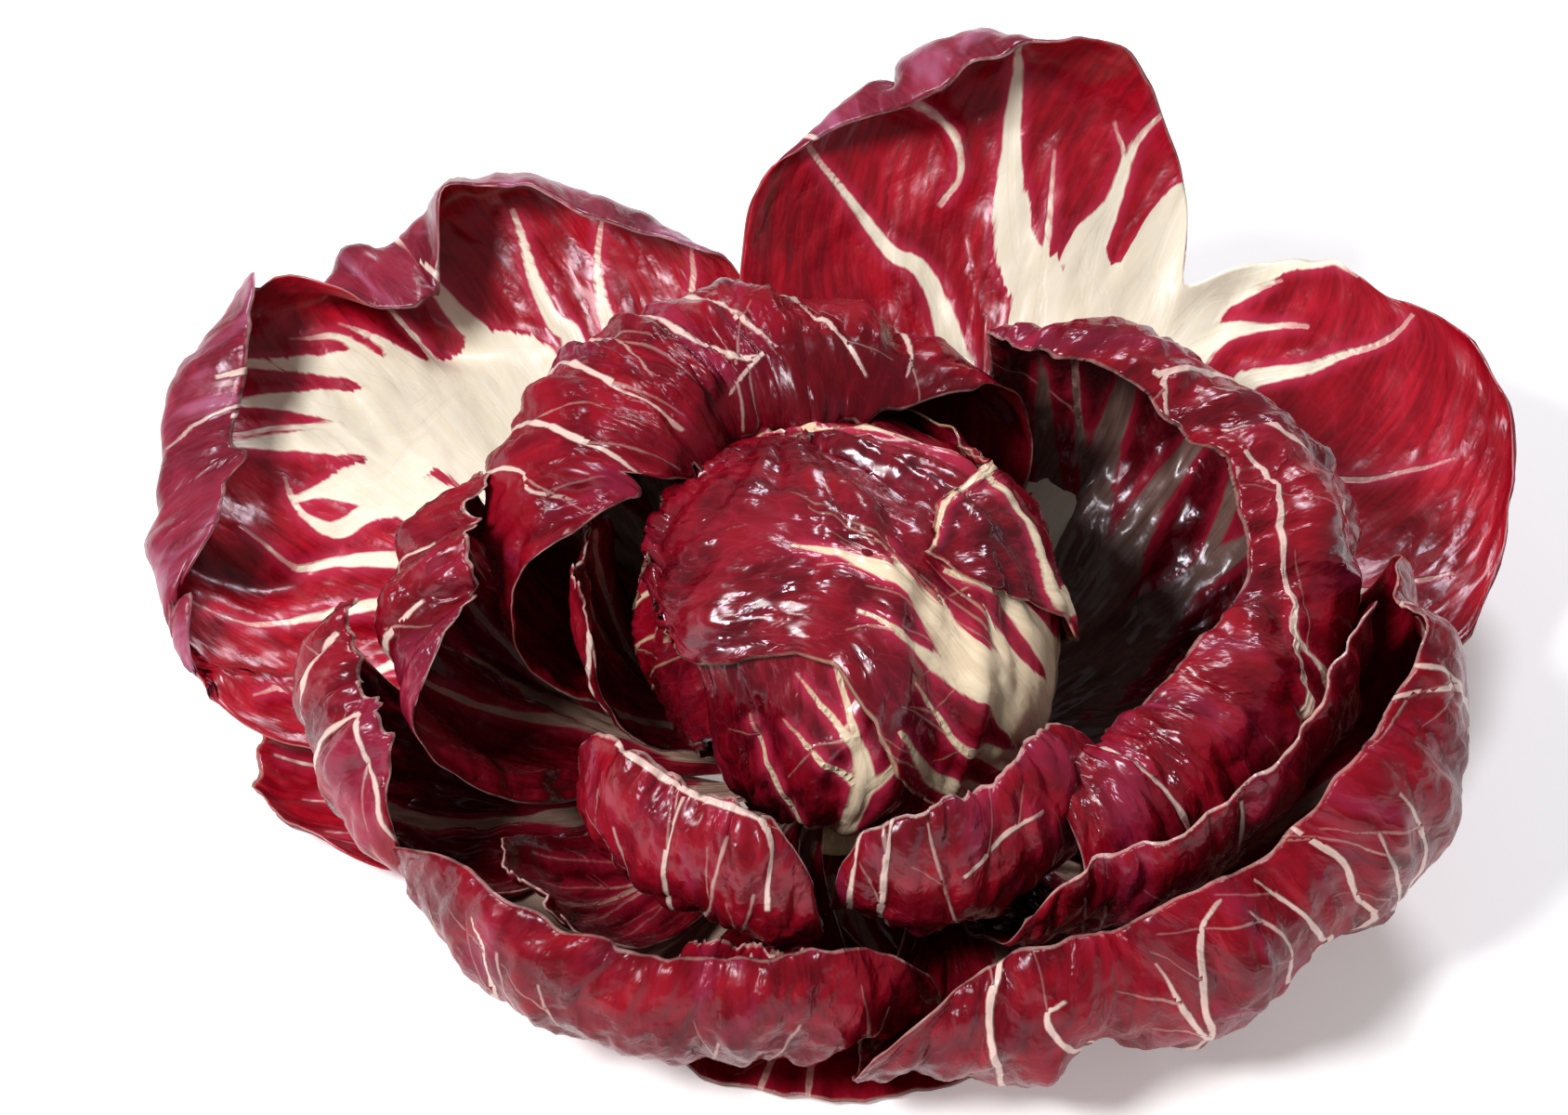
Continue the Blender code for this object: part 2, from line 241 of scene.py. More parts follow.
def warpHeart(points):
    centre = np.array(leafBuild["heartCentre"])
    offset = points - centre
    size = np.linalg.norm(offset, axis=-1, keepdims=True)
    direction = offset / np.maximum(size, 1e-6)
    moved = np.zeros(points.shape[:-1])
    for azimuth, elevation, width, amount in heartShape["swells"]:
        flat, high = math.radians(azimuth), math.radians(elevation)
        aim = np.array([math.cos(flat) * math.cos(high), math.sin(flat) * math.cos(high), math.sin(high)])
        apart = np.degrees(np.arccos(np.clip(direction @ aim, -1, 1)))
        moved += amount * np.exp(-((apart / width) ** 2))
    x, y, z = direction[..., 0], direction[..., 1], direction[..., 2]
    moved += 0.9 * np.sin(5.1 * x + 2.3 * y + 1.0) * np.cos(4.3 * z - 2.9 * y)
    # long folds that gather towards the foot of the right leaf, and creases across them
    turn = np.arctan2(0.6 * z - 0.8 * y + 0.25 * x, 0.75 * x + 0.55 * y - 0.35 * z + 0.2)
    away = np.arccos(np.clip(0.78 * x - 0.30 * y - 0.55 * z, -1, 1))
    for size, reach, amount, seed in heartShape["folds"]:
        crease = np.abs(softNoise(turn * size, away * reach, seed))
        moved += amount * (0.45 - crease) * smooth(away / 0.5)
    keep = smooth((points[..., 2] - 28) / 14)
    return points + direction * (moved * keep)[..., None]


def heartBaseAngle(radius):
    angle = math.radians(14)
    for _ in range(12):
        height = leafBuild["heartCentre"][2] - leafBuild["heartSquash"] * radius * math.cos(angle)
        angle = math.asin((stumpRadius(height) + leafBuild["heartGap"] - leafBuild["tuckIn"]) / radius)
    return angle


def heartLeaf(leaf, a, t):
    azimuth, radius, reach, halfWidth = leaf["wrap"]
    seed = leaf["seed"]
    phi = math.radians(azimuth)
    first = heartBaseAngle(radius)
    share = t[:, None] * marginAlong(leaf, a)[None, :]
    along = first + (math.radians(reach) - first) * share
    sides = layeredNoise(share * 6, np.sign(a)[None, :] * 3, seed + 6) * leafBuild["raggedSides"]
    width = halfWidth * widthAlong(share, *leafBuild["heartWidths"]) * (1 + sides * np.abs(a) ** 5)
    factor = np.interp(share, *zip(*leaf["lowSide"]))
    width = np.where(a[None, :] < 0, width * factor, width)
    side = np.radians(width * a[None, :])
    outward = np.array([math.cos(phi), math.sin(phi), 0.0])
    sideways = np.array([-math.sin(phi), math.cos(phi), 0.0])
    spine = np.sin(along)[..., None] * outward + np.cos(along)[..., None] * np.array([0.0, 0.0, -1.0])
    points = (np.cos(side)[..., None] * spine + np.sin(side)[..., None] * sideways) * radius
    lean = smooth((points[..., 2] / radius + 1) / 1.2)
    points[..., 0] += leafBuild["heartCentre"][0] * lean
    points[..., 1] += leafBuild["heartCentre"][1] * lean
    points[..., 2] = points[..., 2] * leafBuild["heartSquash"] + leafBuild["heartCentre"][2]
    points = warpHeart(points)
    # free edges stand off the leaf below
    u, v = arcLengths(points)
    edge = np.minimum(np.minimum(u - u[:, :1], u[:, -1:] - u), v[-1][None, :] - v)
    flare = heartShape["flare"] * (1 - smooth(edge / heartShape["flareWidth"])) * smooth(v / 40)
    flare = flare * (0.6 + 0.8 * softNoise(edge * 0 + a[None, :] * 3, v / 16, seed + 9))
    return points + outwardNormals(points) * flare[..., None], share


def outwardNormals(points):
    n = np.cross(np.gradient(points, axis=1), np.gradient(points, axis=0))
    return n / np.maximum(np.linalg.norm(n, axis=-1, keepdims=True), 1e-9)


def arcLengths(points):
    rows = np.linalg.norm(np.diff(points, axis=0), axis=-1)
    v = np.vstack([np.zeros((1, points.shape[1])), np.cumsum(rows, 0)])
    columns = np.linalg.norm(np.diff(points, axis=1), axis=-1)
    u = np.hstack([np.zeros((points.shape[0], 1)), np.cumsum(columns, 1)])
    return u - u[:, points.shape[1] // 2][:, None], v


# ribs and veins


def pointsOn(grid, leaf, a, s):
    # places on a leaf's grid at (across, along)
    rows, columns = grid.shape[:2]
    y = np.clip(s / marginAlong(leaf, a), 0, 1) * (rows - 1)
    x = np.clip((a + 1) / 2, 0, 1) * (columns - 1)
    i, j = np.minimum(y.astype(int), rows - 2), np.minimum(x.astype(int), columns - 2)
    fy, fx = (y - i)[:, None], (x - j)[:, None]
    low = grid[i, j] * (1 - fx) + grid[i, j + 1] * fx
    high = grid[i + 1, j] * (1 - fx) + grid[i + 1, j + 1] * fx
    return low * (1 - fy) + high * fy


def traceRib(rib, count=26):
    # a smooth run of (across, along, half width) through a rib's few points
    rib = np.array(rib, float)
    x = np.linspace(0, len(rib) - 1, count)
    i = np.clip(x.astype(int), 0, len(rib) - 2)
    f = (x - i)[:, None]
    padded = np.vstack([2 * rib[0] - rib[1], rib, 2 * rib[-1] - rib[-2]])
    p0, p1, p2, p3 = padded[i], padded[i + 1], padded[i + 2], padded[i + 3]
    bend = (2 * p0 - 5 * p1 + 4 * p2 - p3) * f**2 + (3 * p1 - p0 - 3 * p2 + p3) * f**3
    run = 0.5 * (2 * p1 + (p2 - p0) * f + bend)
    run[:, 2] = np.interp(x, np.arange(len(rib)), rib[:, 2])
    return run


ribForm = {
    # natural side ribs, as (value, spread over the ribs, random part): their ends across the leaf, where
    # they leave the midrib, and (value, random part) of their tips along it and of their bends
    "end": (0.18, 0.8, 0.6), "leave": (0.5, 0.42, 0.04), "tip": (0.97, 0.2), "bend": (0.5, 0.12),
    "width": (0.75, 0.35),
    # twigs, as (value, random part)
    "twigReach": (0.06, 0.08), "twigWidth": (0.24, 0.12),
}


def naturalRibs(leaf):
    # a midrib and side ribs that leave it in turn and run out to the margin
    count, thick = leaf["sideRibs"]
    random = np.random.default_rng(leaf["seed"])
    ribs = []
    if leaf["midrib"]:
        ribs.append([
            (0, 0, thick * 2.2), (0.01, 0.3, thick * 1.5), (-0.01, 0.6, thick * 0.8), (0.01, 0.95, 0.5),
        ])
    for side in (-1, 1):
        for k in range(count):
            first, span, jitter = ribForm["end"]
            end = side * (first + span * (k + jitter * random.random()) / count)
            first, span, jitter = ribForm["leave"]
            leave = first - span * (k / count) + jitter * random.random()
            tip = ribForm["tip"][0] - ribForm["tip"][1] * random.random()
            wide = thick * (ribForm["width"][0] - ribForm["width"][1] * k / count)
            bend = ribForm["bend"][0] + ribForm["bend"][1] * random.random()
            ribs.append([
                (end * 0.06, leave * 0.5, wide), (end * 0.3, leave, wide * 0.8),
                (end * bend * 1.25, (leave + tip) * 0.5, wide * 0.42), (end, tip, 0.35),
            ])
    return ribs


def twigs(ribs, leaf, count):
    # fine side veins that leave the ribs at a slant
    random = np.random.default_rng(leaf["seed"] + 50)
    found = []
    for rib in ribs:
        run = traceRib(rib)
        for k in range(count):
            i = int(4 + (len(run) - 6) * (k + random.random()) / count)
            here, ahead = run[min(i, len(run) - 2)], run[min(i + 1, len(run) - 1)]
            step = ahead[:2] - here[:2]
            size = math.hypot(step[0] * 0.8, step[1]) or 1.0
            forward = step / size
            side = 1 if (k + len(found)) % 2 else -1
            reach = ribForm["twigReach"][0] + ribForm["twigReach"][1] * random.random()
            turn = np.array([forward[1] / 0.8, -forward[0] * 0.8]) * side
            middle = here[:2] + reach * 0.5 * (forward * 0.75 + turn * 0.62)
            last = here[:2] + reach * (forward * 1.0 + turn * 0.8)
            wide = ribForm["twigWidth"][0] + ribForm["twigWidth"][1] * random.random()
            found.append([(*here[:2], wide), (*middle, wide * 0.8), (*last, wide * 0.4)])
    return found


def sampleRibs(ribs, leaf, points, normals, gap):
    # places, half widths, tangents and normals along the ribs, every gap millimetres
    places, widths, tangents, surfaces = [], [], [], []
    for rib in ribs:
        run = traceRib(rib, 26 if len(rib) > 3 else 10)
        run = run[(np.abs(run[:, 0]) <= 1.0) & (run[:, 1] <= 1.02)]
        if len(run) < 3:
            continue
        place = pointsOn(points, leaf, run[:, 0], run[:, 1])
        surface = pointsOn(normals, leaf, run[:, 0], run[:, 1])
        distance = np.concatenate([[0], np.cumsum(np.linalg.norm(np.diff(place, axis=0), axis=1))])
        if distance[-1] < 1:
            continue
        at = np.linspace(0, distance[-1], max(3, int(distance[-1] / gap)))
        line = np.stack([np.interp(at, distance, place[:, c]) for c in range(3)], -1)
        facing = np.stack([np.interp(at, distance, surface[:, c]) for c in range(3)], -1)
        ahead = np.gradient(line, axis=0)
        places.append(line)
        widths.append(np.interp(at, distance, run[:, 2]))
        tangents.append(ahead / np.maximum(np.linalg.norm(ahead, axis=1, keepdims=True), 1e-9))
        surfaces.append(facing)
    return tuple(np.concatenate(part) for part in (places, widths, tangents, surfaces))


def brush(points, places, widths):
    # how deep each point lies inside the ribs' outlines, below 0 outside, and how wide the rib is there
    flat = points.reshape(-1, 3)
    depth, size = np.full(len(flat), -60.0), np.zeros(len(flat))
    square = (flat**2).sum(1)[:, None]
    for first in range(0, len(places), 200):
        part, wide = places[first:first + 200], widths[first:first + 200]
        gap = np.sqrt(np.maximum(square + (part**2).sum(1)[None, :] - 2 * flat @ part.T, 0))
        inside = wide[None, :] - gap
        best = inside.argmax(1)
        here = inside[np.arange(len(flat)), best]
        size = np.where(here > depth, wide[best], size)
        depth = np.maximum(depth, here)
    return depth.reshape(points.shape[:2]), size.reshape(points.shape[:2])


def nearestVeins(points, lines):
    # for each face of the grid: its corners' signed and plain gaps to its nearest vein, and that one's width
    places, widths, tangents, surfaces = lines
    tree = kdtree.KDTree(len(places))
    for index, place in enumerate(places):
        tree.insert(place, index)
    tree.balance()
    around = [points[:-1, :-1], points[:-1, 1:], points[1:, 1:], points[1:, :-1]]
    centres = sum(around) / 4
    nearest = np.array([tree.find(place)[1] for place in centres.reshape(-1, 3)])
    sideways = np.cross(surfaces[nearest], tangents[nearest])
    corners = np.stack(around, -2).reshape(-1, 4, 3)
    offset = corners - places[nearest][:, None, :]
    signed = (offset * sideways[:, None, :]).sum(-1)
    alongVein = (offset * tangents[nearest][:, None, :]).sum(-1)
    gap = np.sqrt(signed**2 + np.maximum(np.abs(alongVein) - 0.9, 0) ** 2)
    half = np.repeat(widths[nearest][:, None], 4, 1)
    least = np.abs(signed).min(1).reshape(centres.shape[:2])
    return np.stack([signed, gap, half], -1), least


# shader groups


def addNode(tree, kind, **settings):
    node = tree.nodes.new(kind)
    for name, value in settings.items():
        setattr(node, name, value)
    return node


def plug(tree, value, socket):
    if isinstance(value, bpy.types.NodeSocket):
        tree.links.new(value, socket)
    else:
        socket.default_value = value


def sums(tree, operation, *values, clamp=False):
    node = addNode(tree, "ShaderNodeMath", operation=operation, use_clamp=clamp)
    for value, socket in zip(values, node.inputs):
        plug(tree, value, socket)
    return node.outputs[0]


def times(tree, *values):
    return sums(tree, "MULTIPLY", *values)


def plus(tree, *values):
    return sums(tree, "ADD", *values)


def minus(tree, *values, clamp=False):
    return sums(tree, "SUBTRACT", *values, clamp=clamp)


def ramp(tree, value, low, high, toLow=0.0, toHigh=1.0, soft=True):
    node = addNode(tree, "ShaderNodeMapRange", interpolation_type="SMOOTHSTEP" if soft else "LINEAR")
    for at, amount in enumerate((value, low, high, toLow, toHigh)):
        plug(tree, amount, node.inputs[at])
    return node.outputs[0]


def blendColour(tree, share, low, high):
    node = addNode(tree, "ShaderNodeMix", data_type="RGBA", clamp_factor=True)
    plug(tree, share, node.inputs[0])
    plug(tree, low, node.inputs[6])
    plug(tree, high, node.inputs[7])
    return node.outputs[2]


def noiseOf(tree, vector, scale, detail=3.0, roughness=0.55, kind="FBM", warp=0.0):
    node = addNode(tree, "ShaderNodeTexNoise", noise_type=kind, normalize=True)
    plug(tree, vector, node.inputs["Vector"])
    for name, value in (("Scale", scale), ("Detail", detail), ("Roughness", roughness),
                        ("Distortion", warp)):
        plug(tree, value, node.inputs[name])
    return node.outputs["Fac"]


def stretched(tree, vector, x, y, z=1.0):
    node = addNode(tree, "ShaderNodeVectorMath", operation="MULTIPLY")
    plug(tree, vector, node.inputs[0])
    node.inputs[1].default_value = (x, y, z)
    return node.outputs[0]


def readLayer(tree, name, output="Fac"):
    return addNode(tree, "ShaderNodeAttribute", attribute_name=name).outputs[output]


def addBump(tree, height, shader, strength, distance):
    bump = addNode(tree, "ShaderNodeBump")
    bump.inputs["Strength"].default_value = strength
    bump.inputs["Distance"].default_value = distance
    plug(tree, height, bump.inputs["Height"])
    plug(tree, bump.outputs[0], shader.inputs["Normal"])


def newGroup(name, inputs, outputs):
    tree = bpy.data.node_groups.new(name, "ShaderNodeTree")
    for label, kind, value in inputs:
        socket = tree.interface.new_socket(label, in_out="INPUT", socket_type=kind)
        socket.default_value = value
    for label, kind in outputs:
        tree.interface.new_socket(label, in_out="OUTPUT", socket_type=kind)
    return tree, addNode(tree, "NodeGroupInput"), addNode(tree, "NodeGroupOutput")


veinForm = {
    # flames along the ribs: stretches of the long and fine noise, the fine one's share, and their pull
    "longStretch": (1.0, 0.14), "fineStretch": (3.6, 0.5), "fineShare": 0.45, "streakPull": 2.6,
    # ramps as (from, to, value there, value here)
    "reachByWidth": (1.2, 6.0, 0.04, 1.0), "paleRamp": (-0.22, 0.5), "blushPull": 1.5, "blushTop": 0.4,
    "nearRamp": (0.5, 1.2, 1.0, 0.0), "strengthRamp": (0.15, 0.65, 0.22, 1.0), "lineJitter": 0.5,
    # the fine net between the veins, and the cells that swell
    "netStretch": (1.0, 0.62), "netShiftSize": 2.4, "netShift": 0.35, "netRamp": (0.0, 0.09, 1.0, 0.0),
    "cellSize": 1.0, "cellRamp": (0.0, 0.5), "ribRamp": (-0.4, 0.8),
    "wear": 1.8, "edgeRamp": (0.25, 0.95, 1.0, 0.0),
}


def makeVeinGroup():
    # reads a blade's own attributes and puts out where it is pale, blushed or veined, and its ribs and cells
    tree, given, result = newGroup("leafVeins", [
        ("Streak Size", "NodeSocketFloat", 1.6), ("Streak Reach", "NodeSocketFloat", 3.0),
        ("Blush Width", "NodeSocketFloat", 3.0), ("Net Size", "NodeSocketFloat", 1.9),
        ("Vein Softness", "NodeSocketFloat", 0.22),
    ], [
        ("Pale", "NodeSocketFloat"), ("Blush", "NodeSocketFloat"), ("Vein", "NodeSocketFloat"),
        ("Net", "NodeSocketFloat"), ("Side", "NodeSocketFloat"), ("Edge", "NodeSocketFloat"),
        ("Shade", "NodeSocketFloat"), ("Cell", "NodeSocketFloat"), ("Rib", "NodeSocketFloat"),
        ("Place", "NodeSocketVector"),
    ])
    place = readLayer(tree, "leafPlace", "Vector")
    side = readLayer(tree, "side")
    pale = addNode(tree, "ShaderNodeSeparateXYZ")
    plug(tree, readLayer(tree, "pale", "Vector"), pale.inputs[0])
    inner, outer = pale.outputs[0], pale.outputs[1]
    depth = plus(tree, times(tree, inner, minus(tree, 1.0, side)), times(tree, outer, side))
    vein = addNode(tree, "ShaderNodeSeparateXYZ")
    plug(tree, readLayer(tree, "vein", "Vector"), vein.inputs[0])
    signed, gap, half = vein.outputs

    # long flames along the ribs, with finer ones on top
    size = given.outputs["Streak Size"]
    long = noiseOf(tree, stretched(tree, place, *veinForm["longStretch"]), size, 3.0, 0.6, warp=0.4)
    fine = noiseOf(tree, stretched(tree, place, *veinForm["fineStretch"]), size, 3.0, 0.65, warp=0.2)
    streak = plus(tree, minus(tree, long, 0.5), times(tree, minus(tree, fine, 0.5), veinForm["fineShare"]))
    # flames only reach as far as the rib is wide there
    byWidth = ramp(tree, pale.outputs[2], *veinForm["reachByWidth"])
    reach = times(tree, given.outputs["Streak Reach"], byWidth)
    ragged = plus(tree, depth, times(tree, times(tree, streak, veinForm["streakPull"]), reach))
    paleMask = ramp(tree, ragged, *veinForm["paleRamp"])
    blushed = plus(tree, ragged, times(tree, streak, veinForm["blushPull"]))
    blush = ramp(tree, blushed, times(tree, given.outputs["Blush Width"], -1.0), veinForm["blushTop"])

    jitter = times(tree, minus(tree, noiseOf(tree, place, 3.0, 2.0), 0.5), veinForm["lineJitter"])
    line = minus(tree, plus(tree, half, jitter), sums(tree, "ABSOLUTE", signed))
    soft = given.outputs["Vein Softness"]
    lineMask = ramp(tree, line, times(tree, soft, -1.0), soft)
    near = ramp(tree, minus(tree, gap, half), *veinForm["nearRamp"])
    strength = ramp(tree, half, *veinForm["strengthRamp"])
    veinMask = times(tree, times(tree, lineMask, near), strength)

    net = addNode(tree, "ShaderNodeTexVoronoi", feature="DISTANCE_TO_EDGE")
    warped = addNode(tree, "ShaderNodeVectorMath", operation="ADD")
    shift = addNode(tree, "ShaderNodeTexNoise")
    plug(tree, place, shift.inputs["Vector"])
    shift.inputs["Scale"].default_value = veinForm["netShiftSize"]
    spread = addNode(tree, "ShaderNodeVectorMath", operation="SCALE")
    plug(tree, shift.outputs["Color"], spread.inputs[0])
    spread.inputs["Scale"].default_value = veinForm["netShift"]
    plug(tree, stretched(tree, place, *veinForm["netStretch"]), warped.inputs[0])
    plug(tree, spread.outputs[0], warped.inputs[1])
    plug(tree, warped.outputs[0], net.inputs["Vector"])
    plug(tree, given.outputs["Net Size"], net.inputs["Scale"])
    netMask = ramp(tree, net.outputs["Distance"], *veinForm["netRamp"])
    cells = addNode(tree, "ShaderNodeTexVoronoi", feature="DISTANCE_TO_EDGE")
    plug(tree, warped.outputs[0], cells.inputs["Vector"])
    cells.inputs["Scale"].default_value = veinForm["cellSize"]
    cell = ramp(tree, cells.outputs["Distance"], *veinForm["cellRamp"])

    margin = readLayer(tree, "margin")
    worn = minus(tree, noiseOf(tree, place, 1.3, 3.0), 0.5)
    worn = plus(tree, margin, times(tree, worn, veinForm["wear"]))
    edgeMask = ramp(tree, worn, *veinForm["edgeRamp"])

    found = {
        "Pale": paleMask, "Blush": blush, "Vein": veinMask, "Net": netMask, "Side": side, "Edge": edgeMask,
        "Place": place, "Cell": cell, "Rib": ramp(tree, depth, *veinForm["ribRamp"]),
        "Shade": readLayer(tree, "shade"),
    }
    for name, value in found.items():
        plug(tree, value, result.inputs[name])
    return tree


def makeWrinkleGroup():
    # height of the fine wrinkles, for bump: long ones along the ribs, and crumples
    tree, given, result = newGroup("leafWrinkles", [
        ("Place", "NodeSocketVector", (0, 0, 0)), ("Wrinkle Size", "NodeSocketFloat", 1.5),
        ("Wrinkle", "NodeSocketFloat", 0.5), ("Crumple", "NodeSocketFloat", 0.5),
    ], [("Height", "NodeSocketFloat")])
    place = given.outputs["Place"]
    long = noiseOf(tree, stretched(tree, place, 1.0, 0.3), given.outputs["Wrinkle Size"], 2.0, 0.45,
                   warp=0.5)
    crumple = noiseOf(tree, stretched(tree, place, 1.0, 0.7), 0.9, 2.0, 0.45, kind="RIDGED_MULTIFRACTAL",
                      warp=0.4)
    total = plus(tree, times(tree, long, given.outputs["Wrinkle"]),
                 times(tree, crumple, given.outputs["Crumple"]))
    plug(tree, total, result.inputs["Height"])
    return tree


def makePatchGroup():
    # how the red varies: broad clouds, thin streaks along the ribs, and patches of lavender bloom that carry
    # a painted sheen
    tree, given, result = newGroup("redPatches", [
        ("Place", "NodeSocketVector", (0, 0, 0)), ("Cloud Size", "NodeSocketFloat", 0.5),
        ("Streaks", "NodeSocketFloat", 0.5),
    ], [("Cloud", "NodeSocketFloat"), ("Streak", "NodeSocketFloat"), ("BloomSheen", "NodeSocketFloat")])
    place = given.outputs["Place"]
    cloud = noiseOf(tree, place, given.outputs["Cloud Size"], 4.0, 0.6, warp=0.6)
    streak = noiseOf(tree, stretched(tree, place, 5.0, 0.35), 1.6, 3.0, 0.6)
    bloomSheen = noiseOf(tree, stretched(tree, place, 1.0, 0.8, 1.3), 0.33, 3.0, 0.55, warp=1.2)
    plug(tree, ramp(tree, bloomSheen, 0.5, 0.66), result.inputs["BloomSheen"])
    plug(tree, ramp(tree, cloud, 0.34, 0.66), result.inputs["Cloud"])
    plug(tree, times(tree, ramp(tree, streak, 0.35, 0.7), given.outputs["Streaks"]),
         result.inputs["Streak"])
    return tree


veinGroup, wrinkleGroup, patchGroup = makeVeinGroup(), makeWrinkleGroup(), makePatchGroup()
print("shader groups made")


def useGroup(tree, group, **values):
    node = addNode(tree, "ShaderNodeGroup", node_tree=group)
    for name, value in values.items():
        plug(tree, value, node.inputs[name.replace("_", " ")])
    return node.outputs


# leaf materials

openLeafLook = {
    "red": (150, 5, 24), "bright": (188, 15, 38), "dark": (80, 2, 13),
    "cream": (250, 243, 222), "creamShade": (244, 230, 198), "innerCream": (250, 243, 222),
    "innerShade": (244, 230, 198),
    "blush": (196, 46, 80), "vein": (234, 178, 168),
    # the back's bloom colour is the waxy bloom together with a painted lavender sheen
    "back": (134, 26, 48), "backDark": (100, 10, 28), "backBloomSheen": (172, 98, 130),
    # the last colour here is painted shade, laid by the shade mask in creases and shaded bands
    "backVein": (236, 206, 194), "paintedShade": (50, 2, 10),
    "roughness": 0.33, "coat": 0.18, "wrinkle": 0.4, "crumple": 0.35, "edge": 0.3, "bloomSheen": 0.7,
    "cell": 0.5, "shine": 0.36,
}
# a rolled leaf's inner cream is darker than the open leaf's: painted shade inside the roll
rolledLeafLook = dict(
    openLeafLook, red=(108, 5, 19), bright=(136, 11, 30), dark=(56, 2, 9), cream=(236, 220, 200),
    creamShade=(216, 188, 164),
    innerCream=(176, 148, 132), innerShade=(120, 88, 76),
    back=(142, 8, 25), backDark=(94, 3, 12), backBloomSheen=(156, 48, 88), blush=(156, 26, 50), paintedShade=(80, 3, 12),
    roughness=0.27, coat=0.13, edge=0.3, wrinkle=0.35, crumple=0.7, bloomSheen=0.34, cell=1.0, shine=0.2,
)
# the hood's look: darker reds and inner cream than the rolled look, painted shade inside the hood
shadedHoodLook = dict(
    rolledLeafLook, shine=0.34, coat=0.26, roughness=0.23, innerCream=(116, 88, 80),
    innerShade=(64, 38, 36), red=(66, 3, 11), bright=(86, 5, 17), dark=(32, 1, 5),
)
# darker reds and inner cream than the rolled look: painted shade inside the cups
cupLeafLook = dict(
    rolledLeafLook, shine=0.28, coat=0.18, red=(88, 3, 14), bright=(114, 6, 23), dark=(40, 1, 6),
    cream=(222, 200, 182), creamShade=(186, 150, 132),
    edge=0.5, innerCream=(164, 134, 118), innerShade=(108, 74, 64), back=(146, 9, 27),
    backDark=(94, 4, 13), vein=(196, 128, 122),
)
heartLeafLook = dict(
    openLeafLook, red=(112, 5, 18), bright=(142, 12, 30), dark=(54, 1, 7), cream=(240, 222, 190),
    creamShade=(212, 176, 144),
    innerCream=(214, 190, 150), innerShade=(180, 146, 108),
    back=(130, 5, 23), backDark=(76, 2, 10), backBloomSheen=(150, 40, 68), backVein=(238, 212, 176),
    paintedShade=(60, 2, 10),
    roughness=0.22, coat=0.32, edge=0.35, wrinkle=0.45, crumple=0.8, bloomSheen=0.16, cell=0.6, shine=0.38,
)


leafFinish = {
    # shares of one colour laid over another
    "streakOnBack": 0.18, "shade": 0.75, "net": 0.11, "blush": 0.75, "vein": 0.85,
    "cloudRoughness": 0.12, "paleRoughness": 0.08, "coatRoughness": 0.16,
    "specularTint": (0.93, 0.86, 1.0, 1.0),
    # how ribs, swells and wrinkles stand in the bump
    "ridge": 0.28, "ribSmoothing": 0.6, "ridgeInCream": 0.85, "bumpStrength": 0.7, "bumpDistance": 0.0018,
}


